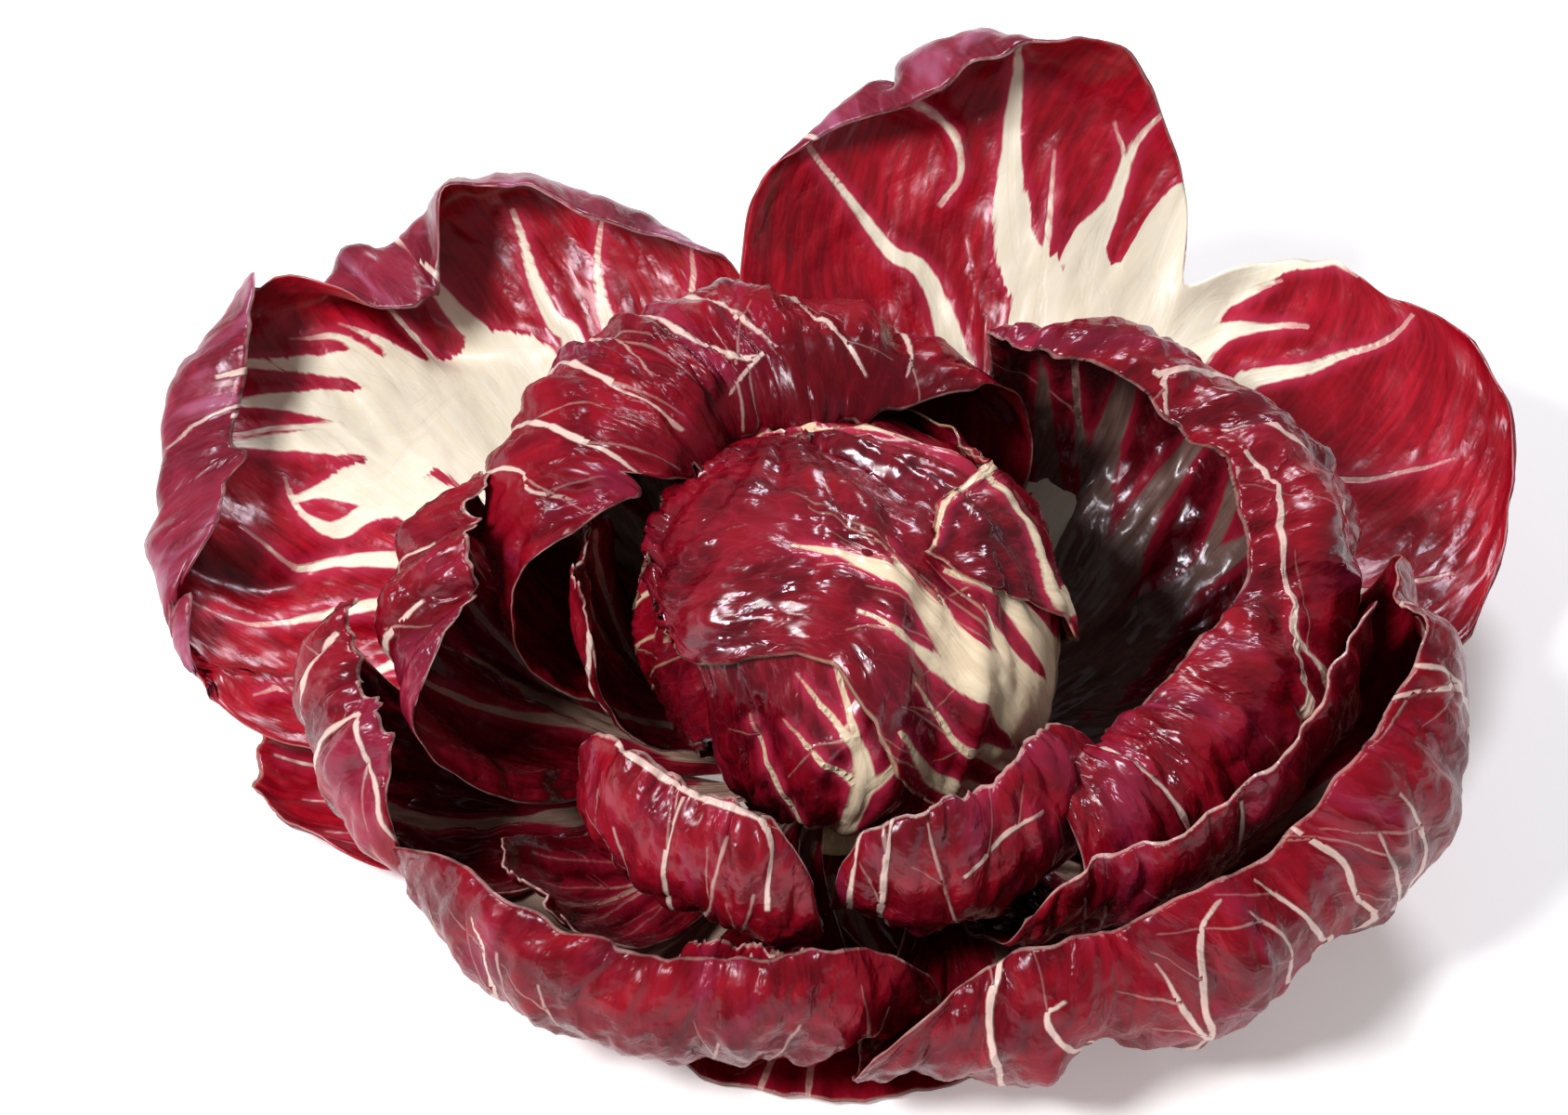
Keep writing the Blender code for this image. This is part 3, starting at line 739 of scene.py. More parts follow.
def leafMaterial(name, look):
    material, tree, shader = newMaterial(name)
    colour = {key: paint(*value) for key, value in look.items() if isinstance(value, tuple)}
    veins = useGroup(tree, veinGroup)
    patches = useGroup(tree, patchGroup, Place=veins["Place"])

    inner = blendColour(tree, patches["Cloud"], colour["red"], colour["bright"])
    inner = blendColour(tree, patches["Streak"], inner, colour["dark"])
    back = blendColour(tree, patches["Cloud"], colour["backDark"], colour["back"])
    # the back's lavender, along streaks and in patches, is the waxy bloom together with a painted sheen
    back = blendColour(tree, times(tree, patches["Streak"], leafFinish["streakOnBack"]), back,
                       colour["backBloomSheen"])
    back = blendColour(tree, times(tree, patches["BloomSheen"], look["bloomSheen"]), back, colour["backBloomSheen"])
    base = blendColour(tree, veins["Side"], inner, back)
    # painted shade: where the Shade mask is set, the colour darkens towards the look's darkest colour,
    # standing in for shade in creases and shaded bands
    base = blendColour(tree, times(tree, veins["Shade"], leafFinish["shade"]), base, colour["paintedShade"])
    base = blendColour(tree, times(tree, veins["Net"], leafFinish["net"]), base, colour["blush"])
    base = blendColour(tree, times(tree, veins["Blush"], leafFinish["blush"]), base, colour["blush"])
    lineColour = blendColour(tree, veins["Side"], colour["vein"], colour["backVein"])
    base = blendColour(tree, times(tree, veins["Vein"], leafFinish["vein"]), base, lineColour)
    cream = blendColour(tree, patches["Streak"], colour["cream"], colour["creamShade"])
    # on the inner face the cream is the look's inner cream, darker where a look paints shade inside a roll,
    # cup or hood
    innerCream = blendColour(tree, patches["Streak"], colour["innerCream"], colour["innerShade"])
    cream = blendColour(tree, veins["Side"], innerCream, cream)
    base = blendColour(tree, veins["Pale"], base, cream)
    base = blendColour(tree, times(tree, veins["Edge"], look["edge"]), base, colour["backVein"])
    plug(tree, base, shader.inputs["Base Color"])

    rough = plus(tree, look["roughness"], times(tree, minus(tree, patches["Cloud"], 0.5),
                                                leafFinish["cloudRoughness"]))
    rough = plus(tree, rough, times(tree, veins["Pale"], leafFinish["paleRoughness"]))
    plug(tree, rough, shader.inputs["Roughness"])

    wrinkles = useGroup(tree, wrinkleGroup, Place=veins["Place"], Wrinkle=look["wrinkle"],
                        Crumple=look["crumple"])
    raised = minus(tree, times(tree, veins["Side"], 2.0), 0.8)
    ridge = times(tree, veins["Vein"], raised)
    ridge = times(tree, ridge, minus(tree, 1.0, times(tree, veins["Rib"], leafFinish["ridgeInCream"])))
    smoothed = minus(tree, 1.0, times(tree, plus(tree, veins["Rib"], veins["Shade"]),
                                      leafFinish["ribSmoothing"]), clamp=True)
    swells = times(tree, times(tree, veins["Cell"], look["cell"]),
                   minus(tree, times(tree, veins["Side"], 1.7), 0.7))
    height = plus(tree, wrinkles["Height"], swells)
    height = plus(tree, times(tree, height, smoothed), times(tree, ridge, leafFinish["ridge"]))
    addBump(tree, height, shader, leafFinish["bumpStrength"], leafFinish["bumpDistance"])

    for name, value in {"Coat Weight": look["coat"], "Coat Roughness": leafFinish["coatRoughness"],
                        "Specular IOR Level": look["shine"], "Metallic": 0.0}.items():
        shader.inputs[name].default_value = value
    shader.inputs["Specular Tint"].default_value = leafFinish["specularTint"]
    return material


leafMaterials = {
    "open_leaf": leafMaterial("openLeaf", openLeafLook),
    "rolled_leaf": leafMaterial("rolledLeaf", rolledLeafLook),
    "heart_leaf": leafMaterial("heartLeaf", heartLeafLook),
    "cup": leafMaterial("cupLeaf", cupLeafLook),
    "hollow": leafMaterial("shadedHoodLeaf", shadedHoodLook),
}
print("leaf materials made")


# the blade: a Geometry Nodes tree that wrinkles a leaf's middle surface and gives it thickness

bladeInputs = [
    ("Thickness", "NodeSocketFloat", 0.0009), ("Rib Height", "NodeSocketFloat", 0.0011),
    ("Pucker Height", "NodeSocketFloat", 0.0012), ("Pucker Size", "NodeSocketFloat", 1.4),
    ("Crumple Height", "NodeSocketFloat", 0.0008), ("Crumple Size", "NodeSocketFloat", 1.1),
    ("Seed", "NodeSocketFloat", 0.0), ("Material", "NodeSocketMaterial", None),
]


def makeBladeTree():
    tree = bpy.data.node_groups.new("leafBlade", "GeometryNodeTree")
    tree.interface.new_socket("Geometry", in_out="INPUT", socket_type="NodeSocketGeometry")
    tree.interface.new_socket("Geometry", in_out="OUTPUT", socket_type="NodeSocketGeometry")
    for label, kind, value in bladeInputs:
        socket = tree.interface.new_socket(label, in_out="INPUT", socket_type=kind)
        if value is not None:
            socket.default_value = value
    given, result = addNode(tree, "NodeGroupInput"), addNode(tree, "NodeGroupOutput")

    def attribute(name, kind):
        node = addNode(tree, "GeometryNodeInputNamedAttribute", data_type=kind)
        node.inputs["Name"].default_value = name
        return node.outputs["Attribute"]

    def moved(geometry, amount):
        offset = addNode(tree, "ShaderNodeVectorMath", operation="SCALE")
        plug(tree, addNode(tree, "GeometryNodeInputNormal").outputs[0], offset.inputs[0])
        plug(tree, amount, offset.inputs["Scale"])
        node = addNode(tree, "GeometryNodeSetPosition")
        plug(tree, geometry, node.inputs["Geometry"])
        plug(tree, offset.outputs[0], node.inputs["Offset"])
        return node.outputs[0]

    def marked(geometry, value):
        node = addNode(tree, "GeometryNodeStoreNamedAttribute", data_type="FLOAT", domain="FACE")
        plug(tree, geometry, node.inputs["Geometry"])
        node.inputs["Name"].default_value = "side"
        node.inputs["Value"].default_value = value
        return node.outputs[0]

    def waves(size, height, stretch, creased, seedShift):
        noise = addNode(tree, "ShaderNodeTexNoise", noise_dimensions="4D", noise_type="FBM", normalize=True)
        plug(tree, stretched(tree, attribute("leafPlace", "FLOAT_VECTOR"), 1.0, stretch),
             noise.inputs["Vector"])
        plug(tree, plus(tree, given.outputs["Seed"], seedShift), noise.inputs["W"])
        plug(tree, sums(tree, "DIVIDE", 1.0, size), noise.inputs["Scale"])
        noise.inputs["Detail"].default_value = 2.0
        noise.inputs["Distortion"].default_value = 0.35
        swing = times(tree, minus(tree, noise.outputs["Fac"], 0.5), 4.0)
        if creased:
            swing = minus(tree, sums(tree, "ABSOLUTE", swing), 0.4)
        return times(tree, swing, height)

    rib, margin, calm = attribute("rib", "FLOAT"), attribute("margin", "FLOAT"), attribute("calm", "FLOAT")
    relief = plus(tree,
                  waves(given.outputs["Pucker Size"], given.outputs["Pucker Height"], 0.42, False, 0.0),
                  waves(given.outputs["Crumple Size"], given.outputs["Crumple Height"], 0.7, True, 5.0))
    middle = moved(given.outputs["Geometry"], times(tree, relief, calm))
    edge = sums(tree, "POWER", sums(tree, "DIVIDE", margin, 1.6, clamp=True), 0.5)
    half = times(tree, given.outputs["Thickness"], 0.5)
    swell = times(tree, given.outputs["Rib Height"], rib)
    outer = moved(middle, times(tree, plus(tree, half, swell), edge))
    hollow = minus(tree, times(tree, swell, 0.3), half)
    inner = moved(middle, times(tree, hollow, edge))
    flipped = addNode(tree, "GeometryNodeFlipFaces")
    plug(tree, inner, flipped.inputs[0])
    both = addNode(tree, "GeometryNodeJoinGeometry")
    tree.links.new(marked(outer, 1.0), both.inputs[0])
    tree.links.new(marked(flipped.outputs[0], 0.0), both.inputs[0])
    closed = addNode(tree, "GeometryNodeMergeByDistance")
    plug(tree, both.outputs[0], closed.inputs["Geometry"])
    plug(tree, sums(tree, "LESS_THAN", margin, 0.001), closed.inputs["Selection"])
    closed.inputs["Distance"].default_value = 0.00001
    soft = addNode(tree, "GeometryNodeSetShadeSmooth")
    plug(tree, closed.outputs[0], soft.inputs["Geometry"])
    real = addNode(tree, "GeometryNodeRealizeInstances")
    plug(tree, soft.outputs[0], real.inputs["Geometry"])
    dressed = addNode(tree, "GeometryNodeSetMaterial")
    plug(tree, real.outputs[0], dressed.inputs["Geometry"])
    plug(tree, given.outputs["Material"], dressed.inputs["Material"])
    plug(tree, dressed.outputs[0], result.inputs[0])
    return tree


bladeTree = makeBladeTree()
bladeSockets = {
    item.name: item.identifier for item in bladeTree.interface.items_tree if item.in_out == "INPUT"
}


def meshFromGrid(name, points, attributes):
    rows, columns = points.shape[:2]
    index = np.arange(rows * columns).reshape(rows, columns)
    faces = np.stack([index[:-1, :-1], index[:-1, 1:], index[1:, 1:], index[1:, :-1]], -1).reshape(-1, 4)
    mesh = bpy.data.meshes.new(name)
    mesh.vertices.add(rows * columns)
    mesh.vertices.foreach_set("co", (points.reshape(-1) * mm).astype(np.float32))
    mesh.loops.add(faces.size)
    mesh.loops.foreach_set("vertex_index", faces.ravel().astype(np.int32))
    mesh.polygons.add(len(faces))
    mesh.polygons.foreach_set("loop_start", np.arange(0, faces.size, 4, dtype=np.int32))
    mesh.update(calc_edges=True)
    for label, values in attributes.items():
        addLayer(mesh, label, values, "CORNER" if label == "vein" else "POINT")
    return mesh


bladeForm = {
    "quickShare": 0.7,  # of the rows and columns
    "creaseStep": 1.5, "ribStep": 1.6, "veinStep": 0.5, "veinWidest": 0.75,
    "shadeEdge": 0.035, "quiltWidth": 5.0, "calmLength": 22.0, "calmMargin": 4.0,
    "shadeCalm": 0.8, "veinRidge": 0.3, "veinRidgeWidth": 1.1, "widestAt": 0.7,
}


def makeLeaf(name, node, slot, ownSettings):
    leaf = {**plainLeaf, **ownSettings}
    rows, columns = leaf["grid"]
    a, t = np.linspace(-1, 1, columns), np.linspace(0, 1, rows)
    shape = heartLeaf if "wrap" in leaf else bowlLeaf
    points, along = shape(leaf, a, t)
    normals = outwardNormals(points)
    dark = np.zeros(points.shape[:2])
    # each crease dents the blade and paints shade into its fold, kept in the shade attribute
    for line, width, depth, darkness in leaf["creases"]:
        places = sampleRibs([[(x, y, width) for x, y in line]], leaf, points, normals,
                            bladeForm["creaseStep"])[0]
        near = brush(points, places, np.zeros(len(places)))[0]
        ends = smooth((along - line[0][1]) / 0.08) if line[0][1] > 0.05 else 1.0
        points = points + normals * (depth * np.exp(-((near / width) ** 2)) * ends)[..., None]
        dark = np.maximum(dark, darkness * np.exp(-((near / width * 1.5) ** 2)) * ends)
    normals = outwardNormals(points)
    u, v = arcLengths(points)

    ribs = [list(rib) for rib in leaf["ribs"]] + (naturalRibs(leaf) if leaf["natural"] else [])
    fine = twigs(ribs, leaf, leaf["twigs"])
    lines = sampleRibs(ribs, leaf, points, normals, bladeForm["ribStep"])
    depth, size = brush(points, lines[0], lines[1])
    innerDepth, innerSize = depth, size
    if "innerRibs" in leaf:
        lines = sampleRibs(ribs + leaf["innerRibs"], leaf, points, normals, bladeForm["ribStep"])
        innerDepth, innerSize = brush(points, lines[0], lines[1])
    shade = dark
    # painted shade on the band from the shadeFrom line towards the tip
    if "shadeFrom" in leaf:
        start = np.interp(a, *zip(*leaf["shadeFrom"]))[None, :]
        shade = np.maximum(dark, smooth((along - start) / bladeForm["shadeEdge"]))
    lines = list(sampleRibs(ribs + fine, leaf, points, normals, bladeForm["veinStep"]))
    lines[1] = np.minimum(lines[1], bladeForm["veinWidest"])
    vein, least = nearestVeins(points, lines)
    # the blade swells between its ribs
    between = np.maximum(-depth, 0) / bladeForm["quiltWidth"]
    swell = leaf["quilt"] * (1 - np.exp(-(between**2))) * (1 - bladeForm["shadeCalm"] * shade)
    points = points + normals * (swell * smooth(v / bladeForm["calmLength"]))[..., None]
    rowEdge = np.minimum(v, v[-1][None, :] - v)
    columnEdge = np.minimum(u - u[:, :1], u[:, -1:] - u)
    margin = np.minimum(rowEdge, columnEdge)
    least = np.pad(least, ((0, 1), (0, 1)), mode="edge")
    rib = np.interp(depth, [-1.5, 0, 2, 6], [0, 0.35, 0.7, 1.0]) * (1 - 0.5 * along)
    veinWidth = np.pad(vein[:, 0, 2].reshape(rows - 1, columns - 1), ((0, 1), (0, 1)), mode="edge")
    ridge = bladeForm["veinRidge"] * np.exp(-((least / bladeForm["veinRidgeWidth"]) ** 2))
    rib = np.maximum(rib, ridge * (veinWidth > 0.45))
    halfSpan = float(np.abs(u[int(rows * bladeForm["widestAt"])]).max())
    leafPlace = np.stack([a[None, :] * halfSpan + 0 * v, v, 0 * v + leaf["seed"] * 37.0], -1) / 10.0
    calm = smooth(v / bladeForm["calmLength"]) * (0.4 + 0.6 * smooth(margin / bladeForm["calmMargin"]))
    calm = calm * (1 - 0.5 * smooth((depth - 1) / 5)) * (1 - 0.75 * shade)
    pale = np.stack([innerDepth, depth - leaf["backPaler"], innerSize], -1)
    mesh = meshFromGrid(name + "Middle", points, {
        "leafPlace": leafPlace, "pale": pale, "vein": vein, "rib": rib, "margin": margin, "calm": calm,
        "shade": shade,
    })
    middle = placed(name + "Middle", mesh)
    blade = middle.modifiers.new("blade", "NODES")
    blade.node_group = bladeTree
    settings = {"Seed": float(leaf["seed"]), "Material": leafMaterials[leaf.get("look", slot)]}
    settings.update(leaf["blade"])
    for label, value in settings.items():
        blade[bladeSockets[label]] = value
    depsgraph = bpy.context.evaluated_depsgraph_get()
    made = bpy.data.meshes.new_from_object(middle.evaluated_get(depsgraph))
    bpy.data.objects.remove(middle, do_unlink=True)
    made.name = name
    piece = placed(name, made)
    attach(piece, "root")
    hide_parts(node)
    print(name, len(made.polygons) * 2, "triangles")
    return piece


# open outer leaves

outerLeafBackLeft = {
    "seed": 1, "grid": (141, 151), "seat": 7.0,
    "columns": [(98, 16, 38, 52, 127), (112.5, 12.8, 32.1, 44.9, 155.5), (127, 10.1, 26.8, 38.9, 171),
                (141, 8, 22, 34, 173),
                (155, 6.4, 17.8, 30.2, 184), (168.5, 5.4, 14.1, 27.6, 163.5), (182, 5, 11, 26, 145)],
    "widest": 0.66, "tip": 0.7, "curl": (22, 0.84), "ruffles": (3, 3, 120), "folds": (3, 2.5, 10),
    "corner": 0.12, "ragged": 0.02, "frill": (2.6, 9), "natural": False, "twigs": 0,
    "rolls": [(-0.8, 0.5, 98, 0.86, 0.08), (-0.15, 0.2, 112, 0.84, 0.09), (0.56, 0.54, 106, 0.845, 0.08)],
    "outline": [(-1, 1), (-0.35, 1), (-0.15, 1.04), (0, 1), (0.3, 1), (1, 1)],
    "tears": [(0.1, 0.02, 0.06), (0.86, 0.02, 0.06)],
    "ribs": [
        [(-0.1, 0.0, 10), (-0.34, 0.607, 8), (-0.12, 0.681, 6.48), (0.0, 0.778, 3.6), (0.11, 0.837, 1.8),
         (0.23, 0.881, 0.58)],
        [(-0.05, 0.711, 2.88), (-0.03, 0.815, 1.15), (0.04, 0.852, 0.35)],
        [(-0.12, 0.704, 2.88), (-0.08, 0.792, 1.15), (-0.05, 0.829, 0.35)],
        [(-0.17, 0.681, 2.16), (-0.16, 0.792, 0.86), (-0.15, 0.859, 0.35)],
        [(-0.1, 0.0, 10), (-0.23, 0.615, 8), (-0.02, 0.689, 6.48), (0.12, 0.763, 3.24),
         (0.25, 0.829, 0.58)],
        [(0.08, 0.704, 1.44), (0.23, 0.763, 0.65), (0.42, 0.852, 0.35)],
        [(-0.1, 0.1, 8), (-0.22, 0.607, 8), (0.03, 0.659, 5.76), (0.19, 0.718, 2.88), (0.30, 0.778, 1.15)],
        [(-0.1, 0.1, 6), (-0.07, 0.6, 8), (0.16, 0.622, 6), (0.27, 0.659, 1.8), (0.32, 0.674, 0.86)],
        [(-0.05, 0.2, 8), (0.05, 0.42, 8), (0.14, 0.55, 7), (0.16, 0.61, 4)],
        [(0.0, 0.4, 6), (0.18, 0.57, 3), (0.32, 0.607, 2.2), (0.34, 0.652, 1.15), (0.32, 0.681, 0.72),
         (0.30, 0.696, 0.43)],
        [(-0.2, 0.3, 6), (-0.38, 0.622, 3.6), (-0.31, 0.681, 3.0), (-0.27, 0.741, 2.4),
         (-0.26, 0.792, 1.8), (-0.25, 0.889, 1.0)],
        [(-0.3, 0.3, 5), (-0.46, 0.637, 2.6), (-0.45, 0.689, 2.2), (-0.46, 0.763, 1.7), (-0.51, 0.86, 0.9)],
        [(-0.35, 0.3, 4), (-0.54, 0.62, 2.2), (-0.57, 0.711, 1.6), (-0.61, 0.78, 1.1), (-0.68, 0.85, 0.5)],
        [(-0.4, 0.3, 3), (-0.70, 0.60, 1.7), (-0.80, 0.75, 1.0), (-0.88, 0.85, 0.4)],
        [(0.1, 0.3, 4), (0.40, 0.6, 1.4), (0.45, 0.659, 0.58), (0.45, 0.726, 0.35)],
        [(0.2, 0.3, 3), (0.55, 0.615, 1.2), (0.66, 0.733, 0.5), (0.7, 0.822, 0.35)],
        [(0.3, 0.3, 3), (0.75, 0.6, 1), (0.88, 0.748, 0.35)],
    ],
    # each crease's last number is the darkness of the shade painted into it
    "creases": [
        ([(-0.30, 0.644), (-0.21, 0.711), (-0.17, 0.763), (-0.15, 0.859), (-0.14, 0.896)], 4.0, 6.0, 0.95),
        ([(0.36, 0.57), (0.50, 0.67), (0.57, 0.77), (0.62, 0.86)], 4.5, 5.0, 0.75),
        ([(0.66, 0.55), (0.80, 0.68), (0.90, 0.82)], 4.0, -4.0, 0.3),
    ],
    "backPaler": 6.0,
}
makeLeaf("outerLeafBackLeft", "outer_leaf_back_left", "open_leaf", outerLeafBackLeft)

outerLeafLeft = {
    "seed": 2, "grid": (91, 101), "seat": 3.5,
    "columns": [(160, -1, 3, 16, 108), (178, -1, 2, 12, 114), (196, -1, 4, 12, 102)],
    "widest": 0.66, "tip": 0.62, "curl": (30, 0.85), "ruffles": (1.5, 2, 40), "folds": (0.6, 2, 10),
}
makeLeaf("outerLeafLeft", "outer_leaf_left", "open_leaf", outerLeafLeft)

outerLeafBackRight = {
    "seed": 3, "grid": (141, 161), "seat": 8.0,
    "columns": [(6, 4, 9, 14, 152), (29, 8, 15, 12, 148), (52, 11, 28, 28, 140), (77, 13, 43, 54, 160),
                (104, 11, 44, 64, 151)],
    "widest": 0.64, "tip": 0.66, "lobes": 22, "notch": 11, "curl": (30, 0.84), "ruffles": (3, 3, 200),
    "folds": (3, 2, 90),
    "corner": 0.14, "ragged": 0.014, "frill": (1.8, 8), "natural": False, "twigs": 0,
    "rolls": [(0.86, 0.46, 92, 0.87, 0.07), (-0.6, 0.3, 75, 0.93, 0.07)],
    "ribs": [
        [(0.1, 0.0, 10), (0.23, 0.62, 8), (0.34, 0.68, 5.5), (0.42, 0.79, 2.4), (0.46, 0.86, 1.7),
         (0.52, 0.94, 0.8)],
        [(0.26, 0.65, 1.6), (0.30, 0.75, 0.8), (0.34, 0.82, 0.4)],
        [(0.05, 0.2, 10), (0.09, 0.73, 9), (0.21, 0.76, 6), (0.21, 0.85, 2), (0.23, 0.93, 1.2),
         (0.22, 1.0, 0.7)],
        [(0.17, 0.74, 3), (0.20, 0.80, 1.5), (0.23, 0.90, 0.7), (0.27, 0.92, 0.4)],
        [(0.0, 0.2, 12), (0.04, 0.85, 11), (0.09, 0.91, 7), (0.11, 0.99, 4)],
        [(-0.02, 0.85, 10), (-0.01, 0.88, 10), (0.03, 1.0, 8)],
        [(-0.01, 0.8, 10), (-0.01, 0.88, 9), (-0.05, 0.98, 6), (-0.12, 0.99, 3.5), (-0.26, 1.0, 1.5),
         (-0.31, 1.0, 0.6)],
        [(-0.03, 0.84, 7), (-0.05, 0.95, 4), (-0.10, 0.95, 1.8), (-0.15, 0.96, 0.5)],
        [(-0.03, 0.6, 8), (-0.06, 0.82, 6), (-0.10, 0.87, 3), (-0.16, 0.88, 1.4), (-0.23, 0.89, 0.6)],
        [(-0.1, 0.3, 8), (-0.20, 0.73, 3.2), (-0.21, 0.78, 2.6), (-0.28, 0.82, 1.6), (-0.33, 0.87, 1.1),
         (-0.38, 0.91, 0.8), (-0.42, 0.96, 0.5)],
        [(0.3, 0.3, 5), (0.52, 0.58, 2.4), (0.62, 0.63, 1.8), (0.75, 0.74, 1.1), (0.92, 0.89, 0.6)],
        [(0.52, 0.70, 0.9), (0.50, 0.73, 0.9), (0.52, 0.77, 1.0), (0.57, 0.80, 0.8), (0.71, 0.86, 0.7),
         (0.79, 0.93, 0.5)],
        [(-0.2, 0.3, 3), (-0.42, 0.66, 1.2), (-0.51, 0.75, 0.6), (-0.6, 0.86, 0.4)],
        [(-0.3, 0.3, 2), (-0.66, 0.6, 1.0), (-0.8, 0.8, 0.5)],
    ],
    # the crease's last number is the darkness of the shade painted into it
    "creases": [([(0.52, 0.70), (0.50, 0.73), (0.52, 0.77), (0.57, 0.80), (0.71, 0.86), (0.79, 0.93)], 2.6,
                 -4.0, 0.5)],
    "backPaler": 6.0,
}
makeLeaf("outerLeafBackRight", "outer_leaf_back_right", "open_leaf", outerLeafBackRight)

# rolled outer leaves

outerLeafFrontRight = {
    "seed": 4, "grid": (121, 185), "seat": 9.0,
    "columns": [(-88, 6, 13, 155, 107), (-62, 4, 14, 155, 123), (-36, 2, 15, 155, 150),
                (-12, 2, 20, 155, 176), (10, 9, 28, 138, 152)],
    "widest": 0.55, "base": 0.44, "tip": 0.86, "ruffles": (3, 5, 0), "folds": (2.2, 4, 30),
    "frill": (2.2, 8), "quilt": 1.8, "natural": False, "twigs": 2,
    "ribs": [
        [(0.0, 0.0, 8), (0.40, 0.45, 3), (0.58, 0.80, 1.44), (0.58, 0.87, 1.2), (0.56, 0.94, 0.8),
         (0.54, 0.98, 0.48)],
        [(0.58, 0.87, 0.8), (0.55, 0.92, 0.72), (0.47, 0.99, 0.48)],
        [(0.0, 0.1, 6), (0.22, 0.45, 3), (0.28, 0.80, 1.52), (0.28, 0.85, 1.44), (0.27, 0.89, 0.8),
         (0.26, 0.93, 0.4)],
        [(0.0, 0.0, 8), (0.12, 0.45, 3.5), (0.17, 0.74, 1.76), (0.12, 0.83, 1.44), (0.11, 0.91, 0.96),
         (0.09, 0.96, 0.64), (0.08, 1.0, 0.48)],
        [(0.0, 0.1, 6), (0.05, 0.45, 3), (0.09, 0.73, 1.28), (0.04, 0.80, 0.96), (-0.02, 0.90, 0.64),
         (-0.06, 0.96, 0.4)],
        [(0.0, 0.1, 6), (-0.14, 0.45, 3), (-0.21, 0.72, 1.76), (-0.25, 0.81, 1.44), (-0.26, 0.90, 0.96),
         (-0.24, 0.95, 0.64), (-0.19, 0.97, 0.4)],
        [(-0.21, 0.72, 1.12), (-0.28, 0.80, 0.72), (-0.33, 0.90, 0.35)],
        [(0.0, 0.05, 6), (-0.28, 0.45, 3), (-0.41, 0.69, 1.68), (-0.47, 0.74, 1.44), (-0.59, 0.85, 1.04),
         (-0.61, 0.89, 0.72), (-0.59, 0.90, 0.48)],
        [(-0.05, 0.05, 5), (-0.5, 0.45, 2.4), (-0.72, 0.85, 1.12), (-0.72, 0.99, 0.8)],
        [(0.22, 0.75, 0.72), (0.18, 0.87, 0.56), (0.18, 0.92, 0.35)],
        [(-0.03, 0.75, 0.72), (-0.04, 0.79, 0.64), (-0.08, 0.88, 0.48), (-0.12, 0.93, 0.35)],
        [(0.05, 0.05, 5), (0.55, 0.45, 2.4), (0.77, 0.8, 0.96), (0.77, 0.93, 0.64), (0.70, 1.0, 0.4)],
    ],
    "blade": {"Pucker Height": 0.0024, "Crumple Height": 0.0018},
}
makeLeaf("outerLeafFrontRight", "outer_leaf_front_right", "rolled_leaf", outerLeafFrontRight)

outerLeafFrontLeft = {
    "seed": 5, "grid": (131, 141), "seat": 11.8,
    "columns": [(199, 0, 9, 145, 121), (231, 2, 10, 150, 120), (258, 4, 11.5, 155, 107),
                (286, 6, 17, 155, 90)],
    "widest": 0.6, "tip": 0.86, "ruffles": (1.5, 2, 0), "folds": (0.5, 2, 0), "midrib": False,
    "sideRibs": (3, 1.1),
    "blade": {"Pucker Height": 0.002, "Crumple Height": 0.0014},
    "ribs": [
        [(0.0, 0.0, 7), (-0.3, 0.3, 6), (-0.6, 0.42, 7), (-0.84, 0.52, 8), (-0.92, 0.62, 5),
         (-0.96, 0.72, 1.5)],
        [(-0.3, 0.3, 3), (-0.47, 0.6, 1.2), (-0.47, 0.82, 0.8), (-0.51, 0.89, 0.7), (-0.56, 0.92, 0.5)],
    ],
}
makeLeaf("outerLeafFrontLeft", "outer_leaf_front_left", "rolled_leaf", outerLeafFrontLeft)

outerLeafFront = {
    "seed": 6, "grid": (61, 81), "seat": 2.9,
    "columns": [(232, -1, -0.5, 3, 67), (271, -1, -0.5, 3, 72), (318, -1, -0.5, 3, 66)],
    "widest": 0.5, "base": 0.6, "tip": 0.8, "ruffles": (0.6, 2, 0), "outline": [(-1, 0.92), (1, 0.92)],
    "natural": False,
    "ribs": [[(-0.1, 0.1, 2.5), (-0.2, 0.5, 1.4), (-0.35, 0.92, 0.7)],
             [(0.0, 0.1, 2), (-0.1, 0.5, 1.2), (-0.15, 0.92, 0.6)],
             [(0.1, 0.1, 2), (0.3, 0.5, 1.2), (0.6, 0.92, 0.7)]],
    "blade": {"Pucker Height": 0.0006, "Crumple Height": 0.0004},
}
makeLeaf("outerLeafFront", "outer_leaf_front", "rolled_leaf", outerLeafFront)

# hoods and cups round the heart

